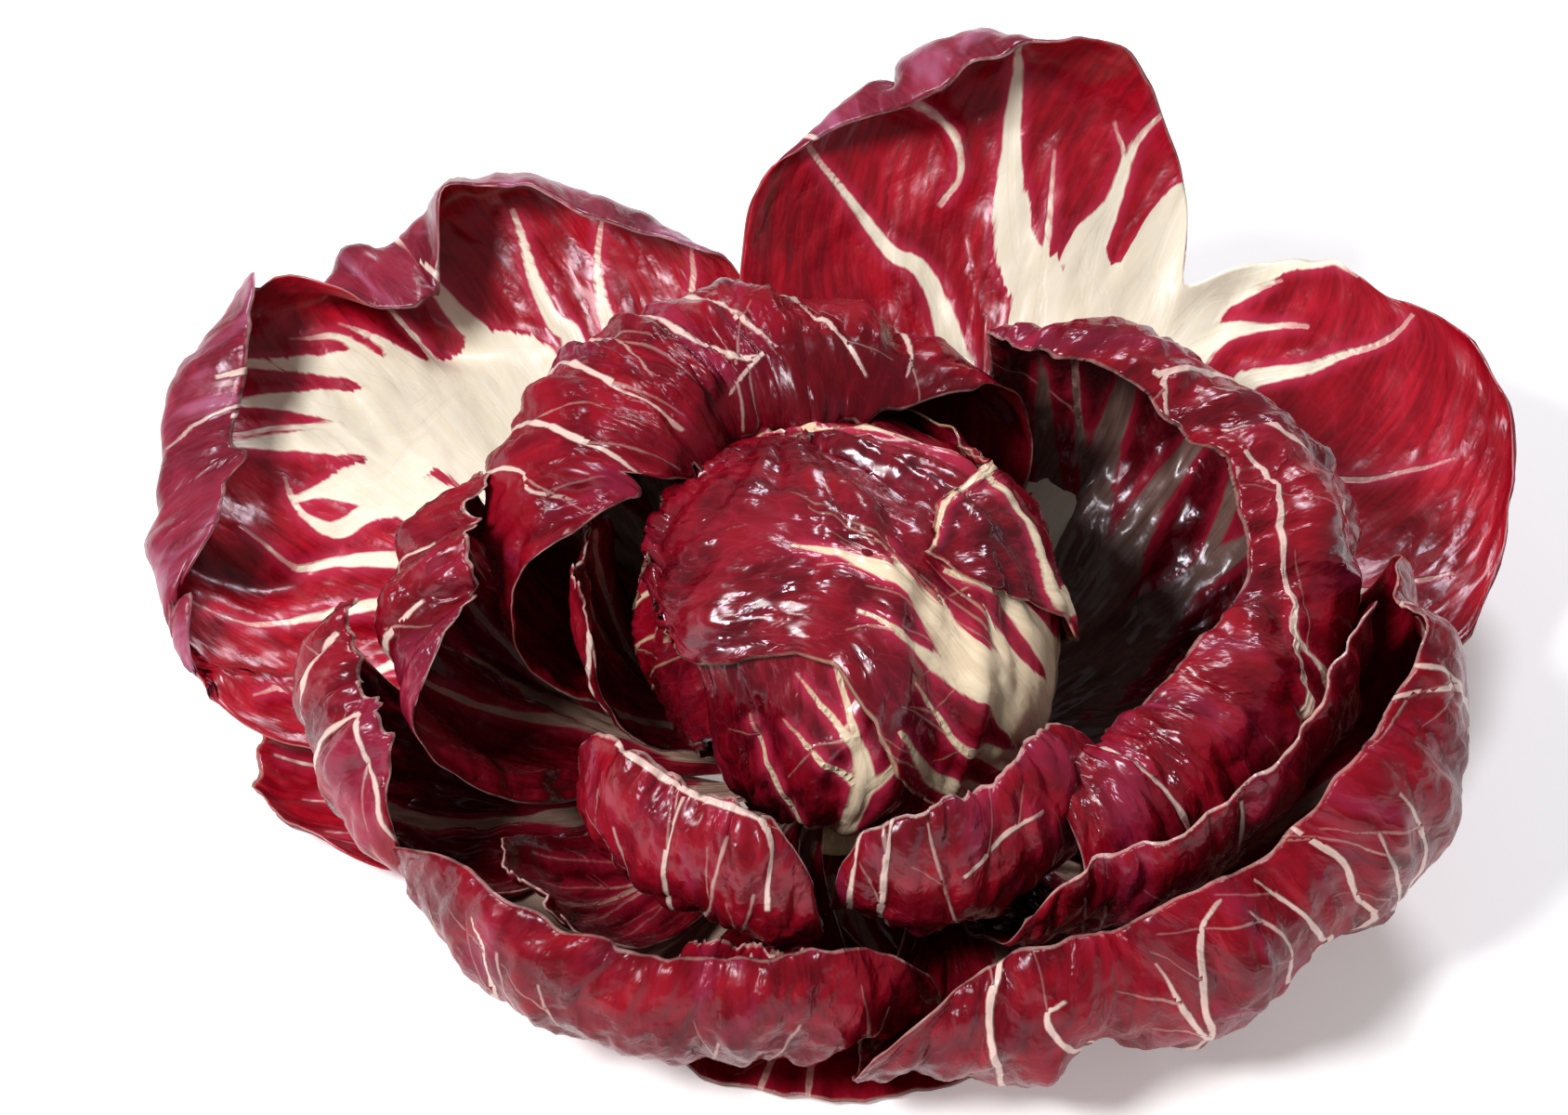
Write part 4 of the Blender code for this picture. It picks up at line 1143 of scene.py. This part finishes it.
hoodLeafBack = {
    "seed": 7, "grid": (121, 151), "seat": 13.5,
    "columns": [(50, 33.3, 71.8, 232, 131.2), (107.6, 34.8, 72.2, 232, 153), (142.1, 27.4, 71.1, 243, 166),
                (185, 37.3, 59.5, 206, 123)],
    "widest": 0.44, "base": 0.46, "tip": 0.9, "ruffles": (2, 2, 0), "folds": (1, 2, 0), "ragged": 0.016,
    "frill": (2.0, 8),
    "natural": False, "quilt": 2.0,
    "outline": [(-1, 0.98), (-0.5, 1.03), (0, 1.04), (0.5, 1.04), (0.75, 1.04), (1, 1.02)],
    "tears": [(0.8, 0.02, 0.05), (0.62, 0.015, 0.03)],
    # painted shade on the rim band past this line
    "shadeFrom": [(-1, 0.78), (-0.5, 0.87), (0, 0.925), (0.4, 0.945), (0.8, 0.99), (1, 1.1)],
    "ribs": [
        [(0.0, 0.0, 6), (0.4, 0.4, 2.5), (0.62, 0.75, 0.81), (0.71, 0.85, 0.81), (0.75, 0.91, 0.67),
         (0.80, 0.97, 0.37)],
        [(0.0, 0.0, 6), (0.25, 0.4, 2.5), (0.39, 0.72, 0.67), (0.47, 0.83, 0.74), (0.50, 0.89, 0.67),
         (0.5, 0.96, 0.37)],
        [(0.6, 0.5, 1), (0.74, 0.75, 0.59), (0.82, 0.79, 0.52), (0.88, 0.86, 0.3)],
        [(0.0, 0.1, 5), (0.05, 0.4, 2.5), (0.07, 0.76, 0.81), (0.08, 0.82, 0.74), (0.02, 0.88, 0.74),
         (-0.09, 0.92, 0.67), (-0.21, 0.93, 0.59)],
        [(-0.21, 0.93, 0.59), (-0.1, 0.945, 0.52), (0.02, 0.96, 0.3)],
        [(0.0, 0.1, 5), (-0.05, 0.5, 1.4), (-0.14, 0.75, 0.67), (-0.22, 0.82, 0.59), (-0.23, 0.86, 0.59),
         (-0.31, 0.91, 0.37)],
        [(0.0, 0.0, 6), (-0.25, 0.4, 3), (-0.47, 0.80, 0.81), (-0.55, 0.85, 0.74), (-0.62, 0.89, 0.67),
         (-0.68, 0.92, 0.37)],
        [(0.15, 0.5, 1), (0.24, 0.73, 0.44), (0.28, 0.81, 0.37), (0.37, 0.88, 0.3)],
        [(-0.4, 0.4, 1.5), (-0.76, 0.78, 0.59), (-0.82, 0.87, 0.37)],
    ],
    "blade": {"Pucker Height": 0.0026, "Crumple Height": 0.0022, "Pucker Size": 1.5, "Crumple Size": 1.1},
}
makeLeaf("hoodLeafBack", "hood_leaf_back", "rolled_leaf", hoodLeafBack)

hoodLeafRight = {
    "seed": 8, "grid": (121, 141), "seat": 14.0,
    "columns": [(-50.5, 13.2, 47.0, 267.2, 121.5), (-19.7, 24.6, 26.5, 204.5, 131.4),
                (23.7, 9.8, 31.6, 196.8, 166.4), (64, 22.9, 59.0, 214.3, 140)],
    "widest": 0.44, "base": 0.5, "tip": 0.9, "ruffles": (3, 4, 60), "folds": (2.2, 4, 40), "ragged": 0.018,
    "frill": (2.4, 9),
    # its hollow look paints shade into the inside of the hood
    "natural": False, "twigs": 1, "quilt": 2.0, "look": "hollow",
    "ribs": [
        [(0.0, 0.0, 8), (0.05, 0.4, 4), (0.10, 0.75, 2.4), (0.13, 0.82, 2.1), (0.19, 0.82, 1.9),
         (0.24, 0.84, 1.7), (0.30, 0.91, 1.3), (0.35, 0.96, 0.9)],
        [(0.0, 0.0, 8), (-0.08, 0.4, 4), (-0.14, 0.75, 2.8), (-0.12, 0.87, 2.3), (-0.05, 0.90, 1.8),
         (0.0, 0.93, 1.4), (0.08, 0.95, 1.1), (0.16, 0.95, 0.9), (0.25, 0.97, 0.6)],
        [(-0.05, 0.1, 5), (-0.3, 0.5, 2.4), (-0.32, 0.73, 2.2), (-0.24, 0.81, 2.4), (-0.17, 0.86, 2.4),
         (-0.12, 0.87, 2.2)],
        [(0.0, 0.05, 6), (0.4, 0.45, 2.4), (0.53, 0.91, 1.0), (0.54, 0.95, 0.8), (0.49, 0.99, 0.5)],
        [(0.0, 0.05, 5), (-0.55, 0.45, 2.2), (-0.7, 0.85, 1.0), (-0.74, 0.97, 0.5)],
        [(0.0, 0.05, 5), (0.75, 0.5, 1.6), (0.85, 0.85, 0.5)],
    ],
    "innerRibs": [
        [(0.2, 0.0, 9), (0.40, 0.30, 6.5), (0.42, 0.44, 3.6), (0.40, 0.56, 2.2), (0.38, 0.70, 0.8)],
        [(0.2, 0.0, 9), (0.50, 0.32, 7.5), (0.57, 0.45, 4.2), (0.58, 0.58, 3.2), (0.55, 0.72, 1.0)],
        [(0.3, 0.1, 8), (0.60, 0.36, 6), (0.71, 0.50, 3.8), (0.74, 0.62, 2.6), (0.72, 0.76, 0.8)],
        [(0.4, 0.2, 6), (0.75, 0.42, 3.6), (0.87, 0.55, 2.4), (0.90, 0.68, 0.8)],
        [(0.1, 0.3, 6), (0.26, 0.46, 2.2), (0.28, 0.58, 1.2), (0.27, 0.70, 0.5)],
    ],
    "backPaler": 1.2,
    "blade": {"Pucker Height": 0.0028, "Crumple Height": 0.0024, "Pucker Size": 1.3, "Crumple Size": 1.0},
}
makeLeaf("hoodLeafRight", "hood_leaf_right", "rolled_leaf", hoodLeafRight)

cupLeafRight = {
    "seed": 9, "grid": (81, 91), "seat": 11.8,
    "columns": [(-62, 3, 30, 112, 88), (-34, 4, 26, 112, 118), (2, 10, 30, 120, 144)],
    "tip": 0.85, "ruffles": (1, 3, 0), "folds": (1.2, 2, 0), "sideRibs": (3, 1.3), "look": "cup",
    "blade": {"Pucker Height": 0.0022, "Crumple Height": 0.0016},
}
makeLeaf("cupLeafRight", "cup_leaf_right", "rolled_leaf", cupLeafRight)

cupLeafLeft = {
    "seed": 10, "grid": (91, 91), "seat": 12.4,
    "columns": [(154, 12, 42, 88, 110), (176, 8, 42, 95, 130), (200, 4, 38, 104, 120)],
    "tip": 0.76, "ruffles": (2, 3, 40), "folds": (2, 3, 0), "ragged": 0.02, "look": "cup",
    "rolls": [(0.1, 1.2, 62, 0.74, 0.16)], "natural": False, "twigs": 1,
    "ribs": [
        [(0, 0, 3), (0.02, 0.3, 2), (0.0, 0.6, 1.2), (0.02, 0.9, 0.6)],
        [(0.05, 0.2, 1.4), (0.3, 0.5, 1.0), (0.5, 0.88, 0.6)],
        [(-0.05, 0.2, 1.4), (-0.3, 0.5, 1.0), (-0.45, 0.9, 0.6)],
    ],
    "blade": {"Pucker Height": 0.0024, "Crumple Height": 0.0018},
}
makeLeaf("cupLeafLeft", "cup_leaf_left", "rolled_leaf", cupLeafLeft)

cupLeafLowerLeft = {
    "seed": 11, "grid": (101, 91), "seat": 9.6,
    "columns": [(176, 2, 28, 120, 132), (190, 1, 20, 140, 142), (205, 1, 20, 135, 124)],
    "curl": (30, 0.8), "ruffles": (2, 2, 0), "folds": (1, 2, 0), "ragged": 0.014,
    "natural": False, "twigs": 1, "look": "cup",
    "blade": {"Pucker Height": 0.0024, "Crumple Height": 0.0016},
    "ribs": [
        [(0, 0, 3), (0.02, 0.3, 2), (0.06, 0.6, 1.2)],
        [(0.1, 0.5, 1.4), (0.2, 0.8, 0.9), (0.30, 0.96, 0.6), (0.59, 0.95, 0.6), (0.85, 0.90, 0.6),
         (1.0, 0.80, 0.5)],
        [(0.0, 0.4, 2.0), (0.05, 0.6, 1.6), (-0.07, 0.81, 1.4), (-0.22, 0.88, 1.2), (-0.40, 0.96, 0.9)],
    ],
}
makeLeaf("cupLeafLowerLeft", "cup_leaf_lower_left", "rolled_leaf", cupLeafLowerLeft)

# small torn leaves round the heart

innerLeafLeft = {
    "seed": 12, "grid": (81, 81), "seat": 16.6,
    "columns": [(160, 26, 62, 100, 82), (178, 24, 60, 100, 84), (198, 20, 56, 100, 78)],
    "ruffles": (1.5, 2, 0), "folds": (1, 2, 0), "ragged": 0.05, "look": "cup",
    "natural": False, "twigs": 1, "blade": {"Pucker Height": 0.0018, "Crumple Height": 0.0014},
    "ribs": [
        [(0, 0, 2.5), (0.02, 0.4, 1.5), (0.0, 0.85, 0.6)],
        [(0.3, 0.2, 1), (0.7, 0.5, 1.0), (0.9, 0.75, 1.1), (0.92, 0.95, 0.9)],
        [(-0.2, 0.3, 1), (-0.5, 0.6, 0.8), (-0.6, 0.9, 0.5)],
    ],
}
makeLeaf("innerLeafLeft", "inner_leaf_left", "rolled_leaf", innerLeafLeft)

innerLeafFrontLeft = {
    "seed": 13, "grid": (81, 91), "seat": 17.2,
    "columns": [(214, 10, 44, 130, 90), (242, 10, 38, 150, 104), (266, 10, 38, 140, 94)],
    "tip": 0.9, "ruffles": (1.5, 2, 0), "folds": (1, 2, 0), "sideRibs": (2, 1.0), "ragged": 0.014,
    "look": "cup",
    "ribs": [[(-0.6, 0.98, 0.7), (-0.37, 0.985, 1.1), (-0.02, 0.985, 1.2), (0.48, 0.985, 1.0),
              (0.68, 0.95, 0.8), (0.7, 0.8, 0.6)]],
    "blade": {"Pucker Height": 0.0022, "Crumple Height": 0.0018},
}
makeLeaf("innerLeafFrontLeft", "inner_leaf_front_left", "rolled_leaf", innerLeafFrontLeft)

innerLeafFrontCurl = {
    "seed": 14, "grid": (81, 71), "seat": 14.4,
    "columns": [(204, 0, 14, 60, 74), (221, 0, 10, 70, 77), (236, 0, 10, 60, 72)],
    "ruffles": (1, 2, 0), "folds": (0.5, 2, 0), "sideRibs": (2, 0.9), "ragged": 0.04, "look": "cup",
}
makeLeaf("innerLeafFrontCurl", "inner_leaf_front_curl", "rolled_leaf", innerLeafFrontCurl)

innerLeafFront = {
    "seed": 15, "grid": (81, 71), "seat": 14.6,
    "columns": [(242, 3, 9, 120, 80), (256, 3, 8, 130, 84), (272, 3, 9, 120, 78)],
    "ruffles": (1, 2, 0), "folds": (0.5, 2, 0), "sideRibs": (2, 0.9), "ragged": 0.03, "look": "cup",
}
makeLeaf("innerLeafFront", "inner_leaf_front", "rolled_leaf", innerLeafFront)

innerLeafFrontRight = {
    "seed": 16, "grid": (81, 91), "seat": 17.2,
    "columns": [(268, 8, 42, 120, 88), (297, 8, 38, 155, 100), (329, 12, 44, 160, 88)],
    "tip": 0.9, "ruffles": (1.5, 2, 0), "folds": (1, 2, 0), "sideRibs": (1, 1.0), "midrib": False,
    "ragged": 0.016,
    "look": "cup", "blade": {"Pucker Height": 0.0022, "Crumple Height": 0.0018},
    "ribs": [
        [(-0.3, 0.3, 2), (-0.65, 0.60, 0.9), (-0.70, 0.86, 0.8), (-0.68, 0.97, 0.6)],
        [(-0.4, 0.3, 2), (-0.82, 0.60, 0.8), (-0.88, 0.77, 0.7), (-0.86, 0.95, 0.6)],
        [(-0.20, 0.84, 0.6), (0.07, 0.88, 0.7), (0.27, 0.88, 0.4)],
    ],
}
makeLeaf("innerLeafFrontRight", "inner_leaf_front_right", "rolled_leaf", innerLeafFrontRight)

# the heart

heartLeafBack = {
    "seed": 17, "grid": (101, 101), "wrap": (48, 50.6, 196, 58), "natural": False, "backPaler": 0.0,
    "outline": [(-1, 0.86), (-0.7, 0.9), (-0.4, 0.82), (-0.29, 0.71), (-0.07, 0.62), (0.1, 0.6), (1, 0.6)],
    "corner": 0.02,
    "ribs": [[(0.1, 0.55, 0.6), (-0.07, 0.6, 1.0), (-0.29, 0.69, 0.9), (-0.4, 0.8, 0.7), (-0.6, 0.87, 0.5)],
             [(-0.3, 0.1, 5), (-0.7, 0.4, 4), (-0.93, 0.66, 3.2), (-0.74, 0.69, 2.8), (-0.55, 0.70, 2.4),
              (-0.38, 0.72, 1.8), (-0.28, 0.71, 1.0)]],
}
heartLeafRight = {
    "seed": 18, "grid": (121, 121), "wrap": (-22, 48.0, 232, 64), "natural": False, "backPaler": 0.0,
    "twigs": 4, "corner": 0.02,
    "lowSide": [(0, 1), (0.35, 1.0), (0.52, 0.8), (0.65, 0.69), (0.72, 0.76), (0.8, 0.93), (0.88, 1.15),
                (0.97, 1.5), (1, 1.45)],
    "ribs": [
        [(-0.05, 0.0, 11), (-0.02, 0.25, 12), (-0.2, 0.37, 8), (-0.37, 0.46, 5.5), (-0.41, 0.57, 3.8),
         (-0.38, 0.64, 2.6), (-0.38, 0.71, 1.5), (-0.38, 0.77, 0.6)],
        [(0.15, 0.1, 9), (0.3, 0.3, 7), (0.36, 0.44, 3), (0.42, 0.6, 1.0)],
        [(-0.37, 0.63, 2), (-0.30, 0.66, 1.1), (-0.20, 0.68, 0.3)],
        [(-0.38, 0.54, 2), (-0.32, 0.57, 1.2), (-0.26, 0.60, 0.3)],
        [(0.05, 0.1, 9), (0.12, 0.30, 8), (-0.02, 0.43, 4.5), (-0.03, 0.51, 2.6), (-0.06, 0.55, 1.6),
         (-0.12, 0.60, 0.6)],
        [(-0.1, 0.3, 5), (-0.23, 0.44, 3), (-0.22, 0.50, 1.8), (-0.17, 0.54, 0.4)],
        [(-0.05, 0.1, 7), (-0.26, 0.38, 5), (-0.50, 0.50, 2.6), (-0.60, 0.58, 1.4), (-0.66, 0.66, 0.5)],
        [(-0.1, 0.1, 4), (-0.47, 0.33, 2.5), (-0.65, 0.40, 1.2), (-0.68, 0.46, 0.8), (-0.72, 0.54, 0.4)],
        [(-0.2, 0.05, 4), (-0.66, 0.25, 3), (-0.86, 0.35, 2), (-0.89, 0.42, 1.6), (-0.90, 0.49, 0.9)],
        [(0.15, 0.1, 4), (0.4, 0.4, 2), (0.5, 0.7, 1.0), (0.5, 0.9, 0.4)],
        [(0.15, 0.1, 3), (0.7, 0.4, 1.4), (0.8, 0.7, 0.5)],
    ],
}
heartLeafFront = {
    "seed": 19, "grid": (101, 101), "wrap": (-95, 45.4, 190, 60), "natural": False, "backPaler": 0.0,
    "twigs": 1,
    "lowSide": [(0, 1), (0.3, 0.55), (0.6, 0.55), (1, 1)],
    "ribs": [
        [(0.1, 0.0, 5), (0.18, 0.36, 2.2), (0.21, 0.47, 2.5), (0.18, 0.53, 1.9), (0.10, 0.57, 1.0),
         (-0.02, 0.61, 0.6), (-0.14, 0.64, 0.3)],
        [(0.19, 0.50, 1.6), (0.15, 0.58, 0.8), (0.08, 0.66, 0.6), (0.02, 0.74, 0.3)],
        [(0.20, 0.46, 1.6), (0.06, 0.50, 0.8), (-0.08, 0.53, 0.6), (-0.22, 0.56, 0.3)],
        [(0.20, 0.44, 2.2), (0.36, 0.52, 0.9), (0.46, 0.62, 0.3)],
        [(0.1, 0.2, 2), (-0.3, 0.4, 0.9), (-0.55, 0.55, 0.3)],
    ],
}
heartLeafLeft = {"seed": 20, "grid": (61, 61), "wrap": (175, 42.8, 200, 66), "backPaler": 3.0,
                 "sideRibs": (3, 0.9), "twigs": 1}
heartLeafBackLeft = {"seed": 21, "grid": (61, 61), "wrap": (110, 40.2, 190, 62), "backPaler": 1.0}
makeLeaf("heartLeafBack", "heart_leaf_back", "heart_leaf", heartLeafBack)
makeLeaf("heartLeafRight", "heart_leaf_right", "heart_leaf", heartLeafRight)
makeLeaf("heartLeafFront", "heart_leaf_front", "heart_leaf", heartLeafFront)
makeLeaf("heartLeafLeft", "heart_leaf_left", "heart_leaf", heartLeafLeft)
makeLeaf("heartLeafBackLeft", "heart_leaf_back_left", "heart_leaf", heartLeafBackLeft)

heartBud = {"radius": 37.0, "halfHeight": 30.2, "bottom": 32.0, "turns": 5, "fold": 1.3, "grid": (60, 96)}


def turnedMesh(name, points):
    # a skin round an axis from rings of points, with a fan at each end
    rows, columns = points.shape[:2]
    verts = [tuple(p) for p in (points.reshape(-1, 3) * mm)]
    faces = []
    for i in range(rows - 1):
        for j in range(columns):
            k = (j + 1) % columns
            faces.append((i * columns + j, i * columns + k, (i + 1) * columns + k, (i + 1) * columns + j))
    for row, flip in ((0, True), (rows - 1, False)):
        centre = points[row].mean(0) * mm
        verts.append(tuple(centre))
        for j in range(columns):
            pair = (row * columns + j, row * columns + (j + 1) % columns)
            faces.append((pair[1], pair[0], len(verts) - 1) if flip else (*pair, len(verts) - 1))
    mesh = bpy.data.meshes.new(name)
    mesh.from_pydata(verts, [], faces)
    mesh.shade_smooth()
    return mesh


def makeBud():
    rows, columns = heartBud["grid"]
    polar = np.linspace(0.02, math.pi - 0.02, rows)[:, None]
    turn = np.linspace(0, 2 * math.pi, columns, endpoint=False)[None, :]
    # each wrapped leaf's edge is a step that winds up round the bud
    step = ((turn / (2 * math.pi) * heartBud["turns"] + polar * 0.9) % 1.0)
    lift = -heartBud["fold"] * step * np.sin(polar)
    radius = heartBud["radius"] + lift
    x = leafBuild["heartCentre"][0] + radius * np.sin(polar) * np.cos(turn)
    y = leafBuild["heartCentre"][1] + radius * np.sin(polar) * np.sin(turn)
    half = heartBud["halfHeight"]
    z = heartBud["bottom"] + half - half * np.cos(polar) * (1 + lift / heartBud["radius"])
    points = warpHeart(np.stack([x, y, z + 0 * x], -1))
    mesh = turnedMesh("heartBud", points)
    count = len(mesh.vertices)
    place = np.zeros((count, 3))
    place[:rows * columns] = np.stack([turn * 3.0 + 0 * polar, polar * 3.7 + 0 * turn, 0 * x + 60],
                                      -1).reshape(-1, 3)
    for label, value in (("margin", 20.0), ("shade", 0.0)):
        addLayer(mesh, label, np.full(count, value))
    addLayer(mesh, "leafPlace", place)
    addLayer(mesh, "pale", np.full((count, 3), -20.0))
    addLayer(mesh, "vein", np.tile([9.0, 9.0, 0.3], (count, 1)))
    addLayer(mesh, "side", np.ones(len(mesh.polygons)), "FACE")
    mesh.materials.append(leafMaterials["heart_leaf"])
    piece = placed("heartBud", mesh)
    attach(piece, "root")
    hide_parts("heart_bud")


makeBud()
print("heart made")

# the stump

stump = {
    "sides": 128, "rows": 70, "rough": 0.25, "scar": 0.5,
    "skin": (226, 206, 160), "skinDark": (176, 138, 92), "cut": (222, 196, 146), "cutDark": (150, 104, 62),
    "pith": (238, 224, 186),
    # lengths on the cut face in metres, noise sizes per metre, and shares of one colour over another
    "cutHeight": (0.0003, 0.0012), "pithToRind": (0.002, 0.010), "ringRadius": 0.0112,
    "ringWidth": (0.0004, 0.0024), "ringWobble": 0.006, "fibreSize": 260.0, "cloudSize": 60.0,
    "speckSize": 520.0, "ringShade": 0.75, "speckShade": 0.45, "roughness": 0.5, "cloudRoughness": 0.25,
    "bumpStrength": 0.6, "bumpDistance": 0.0008, "speckDepth": -0.3,
    # shares of its radius at which rings of points close the cut face
    "cutRings": (0.02, 0.4, 0.75, 0.96),
}


def stumpMaterial():
    material, tree, shader = newMaterial("stump")
    place = addNode(tree, "ShaderNodeTexCoord").outputs["Object"]
    split = addNode(tree, "ShaderNodeSeparateXYZ")
    plug(tree, place, split.inputs[0])
    x, y, z = split.outputs
    distance = sums(tree, "SQRT", plus(tree, times(tree, x, x), times(tree, y, y)))
    onCut = ramp(tree, z, *stump["cutHeight"], 1.0, 0.0)
    fibres = noiseOf(tree, stretched(tree, place, 1.0, 1.0, 0.12), stump["fibreSize"], 4.0, 0.6)
    clouds = noiseOf(tree, place, stump["cloudSize"], 4.0, 0.6, warp=0.5)
    skin = blendColour(tree, ramp(tree, fibres, 0.3, 0.7), paint(*stump["skin"]), paint(*stump["skinDark"]))
    skin = blendColour(tree, ramp(tree, clouds, 0.5, 0.75), skin, paint(*stump["pith"]))
    # the cut face: a pith, a ring of browned vessels and a pale rind
    wobble = times(tree, minus(tree, clouds, 0.5), stump["ringWobble"])
    offRing = sums(tree, "ABSOLUTE", minus(tree, plus(tree, distance, wobble), stump["ringRadius"]))
    ring = ramp(tree, offRing, *stump["ringWidth"], 1.0, 0.0)
    outward = ramp(tree, distance, *stump["pithToRind"])
    cut = blendColour(tree, outward, paint(*stump["pith"]), paint(*stump["cut"]))
    speck = ramp(tree, noiseOf(tree, place, stump["speckSize"], 2.0, 0.5), 0.5, 0.68)
    cut = blendColour(tree, times(tree, ring, stump["ringShade"]), cut, paint(*stump["cutDark"]))
    cut = blendColour(tree, times(tree, speck, stump["speckShade"]), cut, paint(*stump["cutDark"]))
    plug(tree, blendColour(tree, onCut, skin, cut), shader.inputs["Base Color"])
    rough = plus(tree, stump["roughness"], times(tree, clouds, stump["cloudRoughness"]))
    plug(tree, rough, shader.inputs["Roughness"])
    height = plus(tree, fibres, times(tree, speck, stump["speckDepth"]))
    addBump(tree, height, shader, stump["bumpStrength"], stump["bumpDistance"])
    return material


def makeStump():
    radii, heights = zip(*stumpOutline)
    rows, sides = stump["rows"], stump["sides"]
    height = np.concatenate([np.zeros(len(stump["cutRings"])), np.linspace(0.0, heights[-1], rows)])[:, None]
    turn = np.linspace(0, 2 * math.pi, sides, endpoint=False)[None, :]
    radius = np.interp(height, heights, radii) + 0 * turn
    # shallow steps where leaves were pulled away, and fibres that run up the stalk
    rough = softNoise(np.cos(turn) * 5 + 9, np.sin(turn) * 5 + height * 0.5, 90) * stump["rough"]
    scar = stump["scar"] * softNoise(np.cos(turn) * 1.6 + 5, np.sin(turn) * 1.6 + height * 0.28, 91)
    keep = smooth(height / 1.2) * smooth((heights[-1] - height) / 1.5)
    radius = radius + (rough + scar - 0.3) * keep
    for row, share in enumerate(stump["cutRings"]):
        radius[row] = radii[0] * share
    points = np.stack([radius * np.cos(turn), radius * np.sin(turn), height + 0 * radius], -1)
    mesh = turnedMesh("stump", points)
    mesh.materials.append(stumpMaterial())
    piece = placed("stumpStalk", mesh)
    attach(piece, "root")
    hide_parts("stump")


makeStump()
print("stump made")

# floor, light and camera

studio = {
    "floorSize": 6.0, "floorColour": (250, 250, 250), "floorGlow": 0.27, "world": 0.23,
    "lamps": [
        # name, place, size, watts, colour
        ("keyLamp", (-0.75, -0.55, 1.15), 0.36, 19.5, (1.0, 0.99, 0.99)),
        ("backLamp", (0.25, 0.9, 1.2), 0.4, 11.5, (0.95, 0.94, 1.0)),
    ],
    "target": (-0.0117, 0.030, 0.050), "elevation": 46.0, "distance": 0.95, "pixelsPerMetre": 4800,
}


def makeStudio():
    size = studio["floorSize"] / 2
    mesh = bpy.data.meshes.new("floor")
    mesh.from_pydata([(-size, -size, 0), (size, -size, 0), (size, size, 0), (-size, size, 0)], [],
                     [(0, 1, 2, 3)])
    floor = placed("floor", mesh)
    material, _, shader = newMaterial("paleFloor")
    shader.inputs["Base Color"].default_value = paint(*studio["floorColour"])
    shader.inputs["Roughness"].default_value = 0.9
    shader.inputs["Specular IOR Level"].default_value = 0.1
    shader.inputs["Emission Color"].default_value = (1, 1, 1, 1)
    shader.inputs["Emission Strength"].default_value = studio["floorGlow"]
    mesh.materials.append(material)

    world = bpy.data.worlds.new("softbox")
    world.use_nodes = True
    world.node_tree.nodes["Background"].inputs["Color"].default_value = (1, 1, 1, 1)
    world.node_tree.nodes["Background"].inputs["Strength"].default_value = studio["world"]
    bpy.context.scene.world = world
    target = Vector(studio["target"])
    for name, place, width, watts, colour in studio["lamps"]:
        light = bpy.data.lights.new(name, "AREA")
        light.shape, light.size, light.energy, light.color = "DISK", width, watts, colour
        lamp = placed(name, light)
        lamp.location = place
        lamp.rotation_euler = (target - Vector(place)).to_track_quat("-Z", "Y").to_euler()

    elevation = math.radians(studio["elevation"])
    forward = Vector((0.0, math.cos(elevation), -math.sin(elevation)))
    camera = bpy.data.cameras.new("camera")
    camera.sensor_width = 36.0
    camera.lens = 36.0 * studio["distance"] * studio["pixelsPerMetre"] / 1688
    camera.clip_start = 0.01
    eye = placed("camera", camera)
    eye.location = target - forward * studio["distance"]
    eye.rotation_euler = forward.to_track_quat("-Z", "Y").to_euler()
    bpy.context.scene.camera = eye
    bpy.context.scene.view_settings.view_transform = "Standard"


makeStudio()
print("studio made")
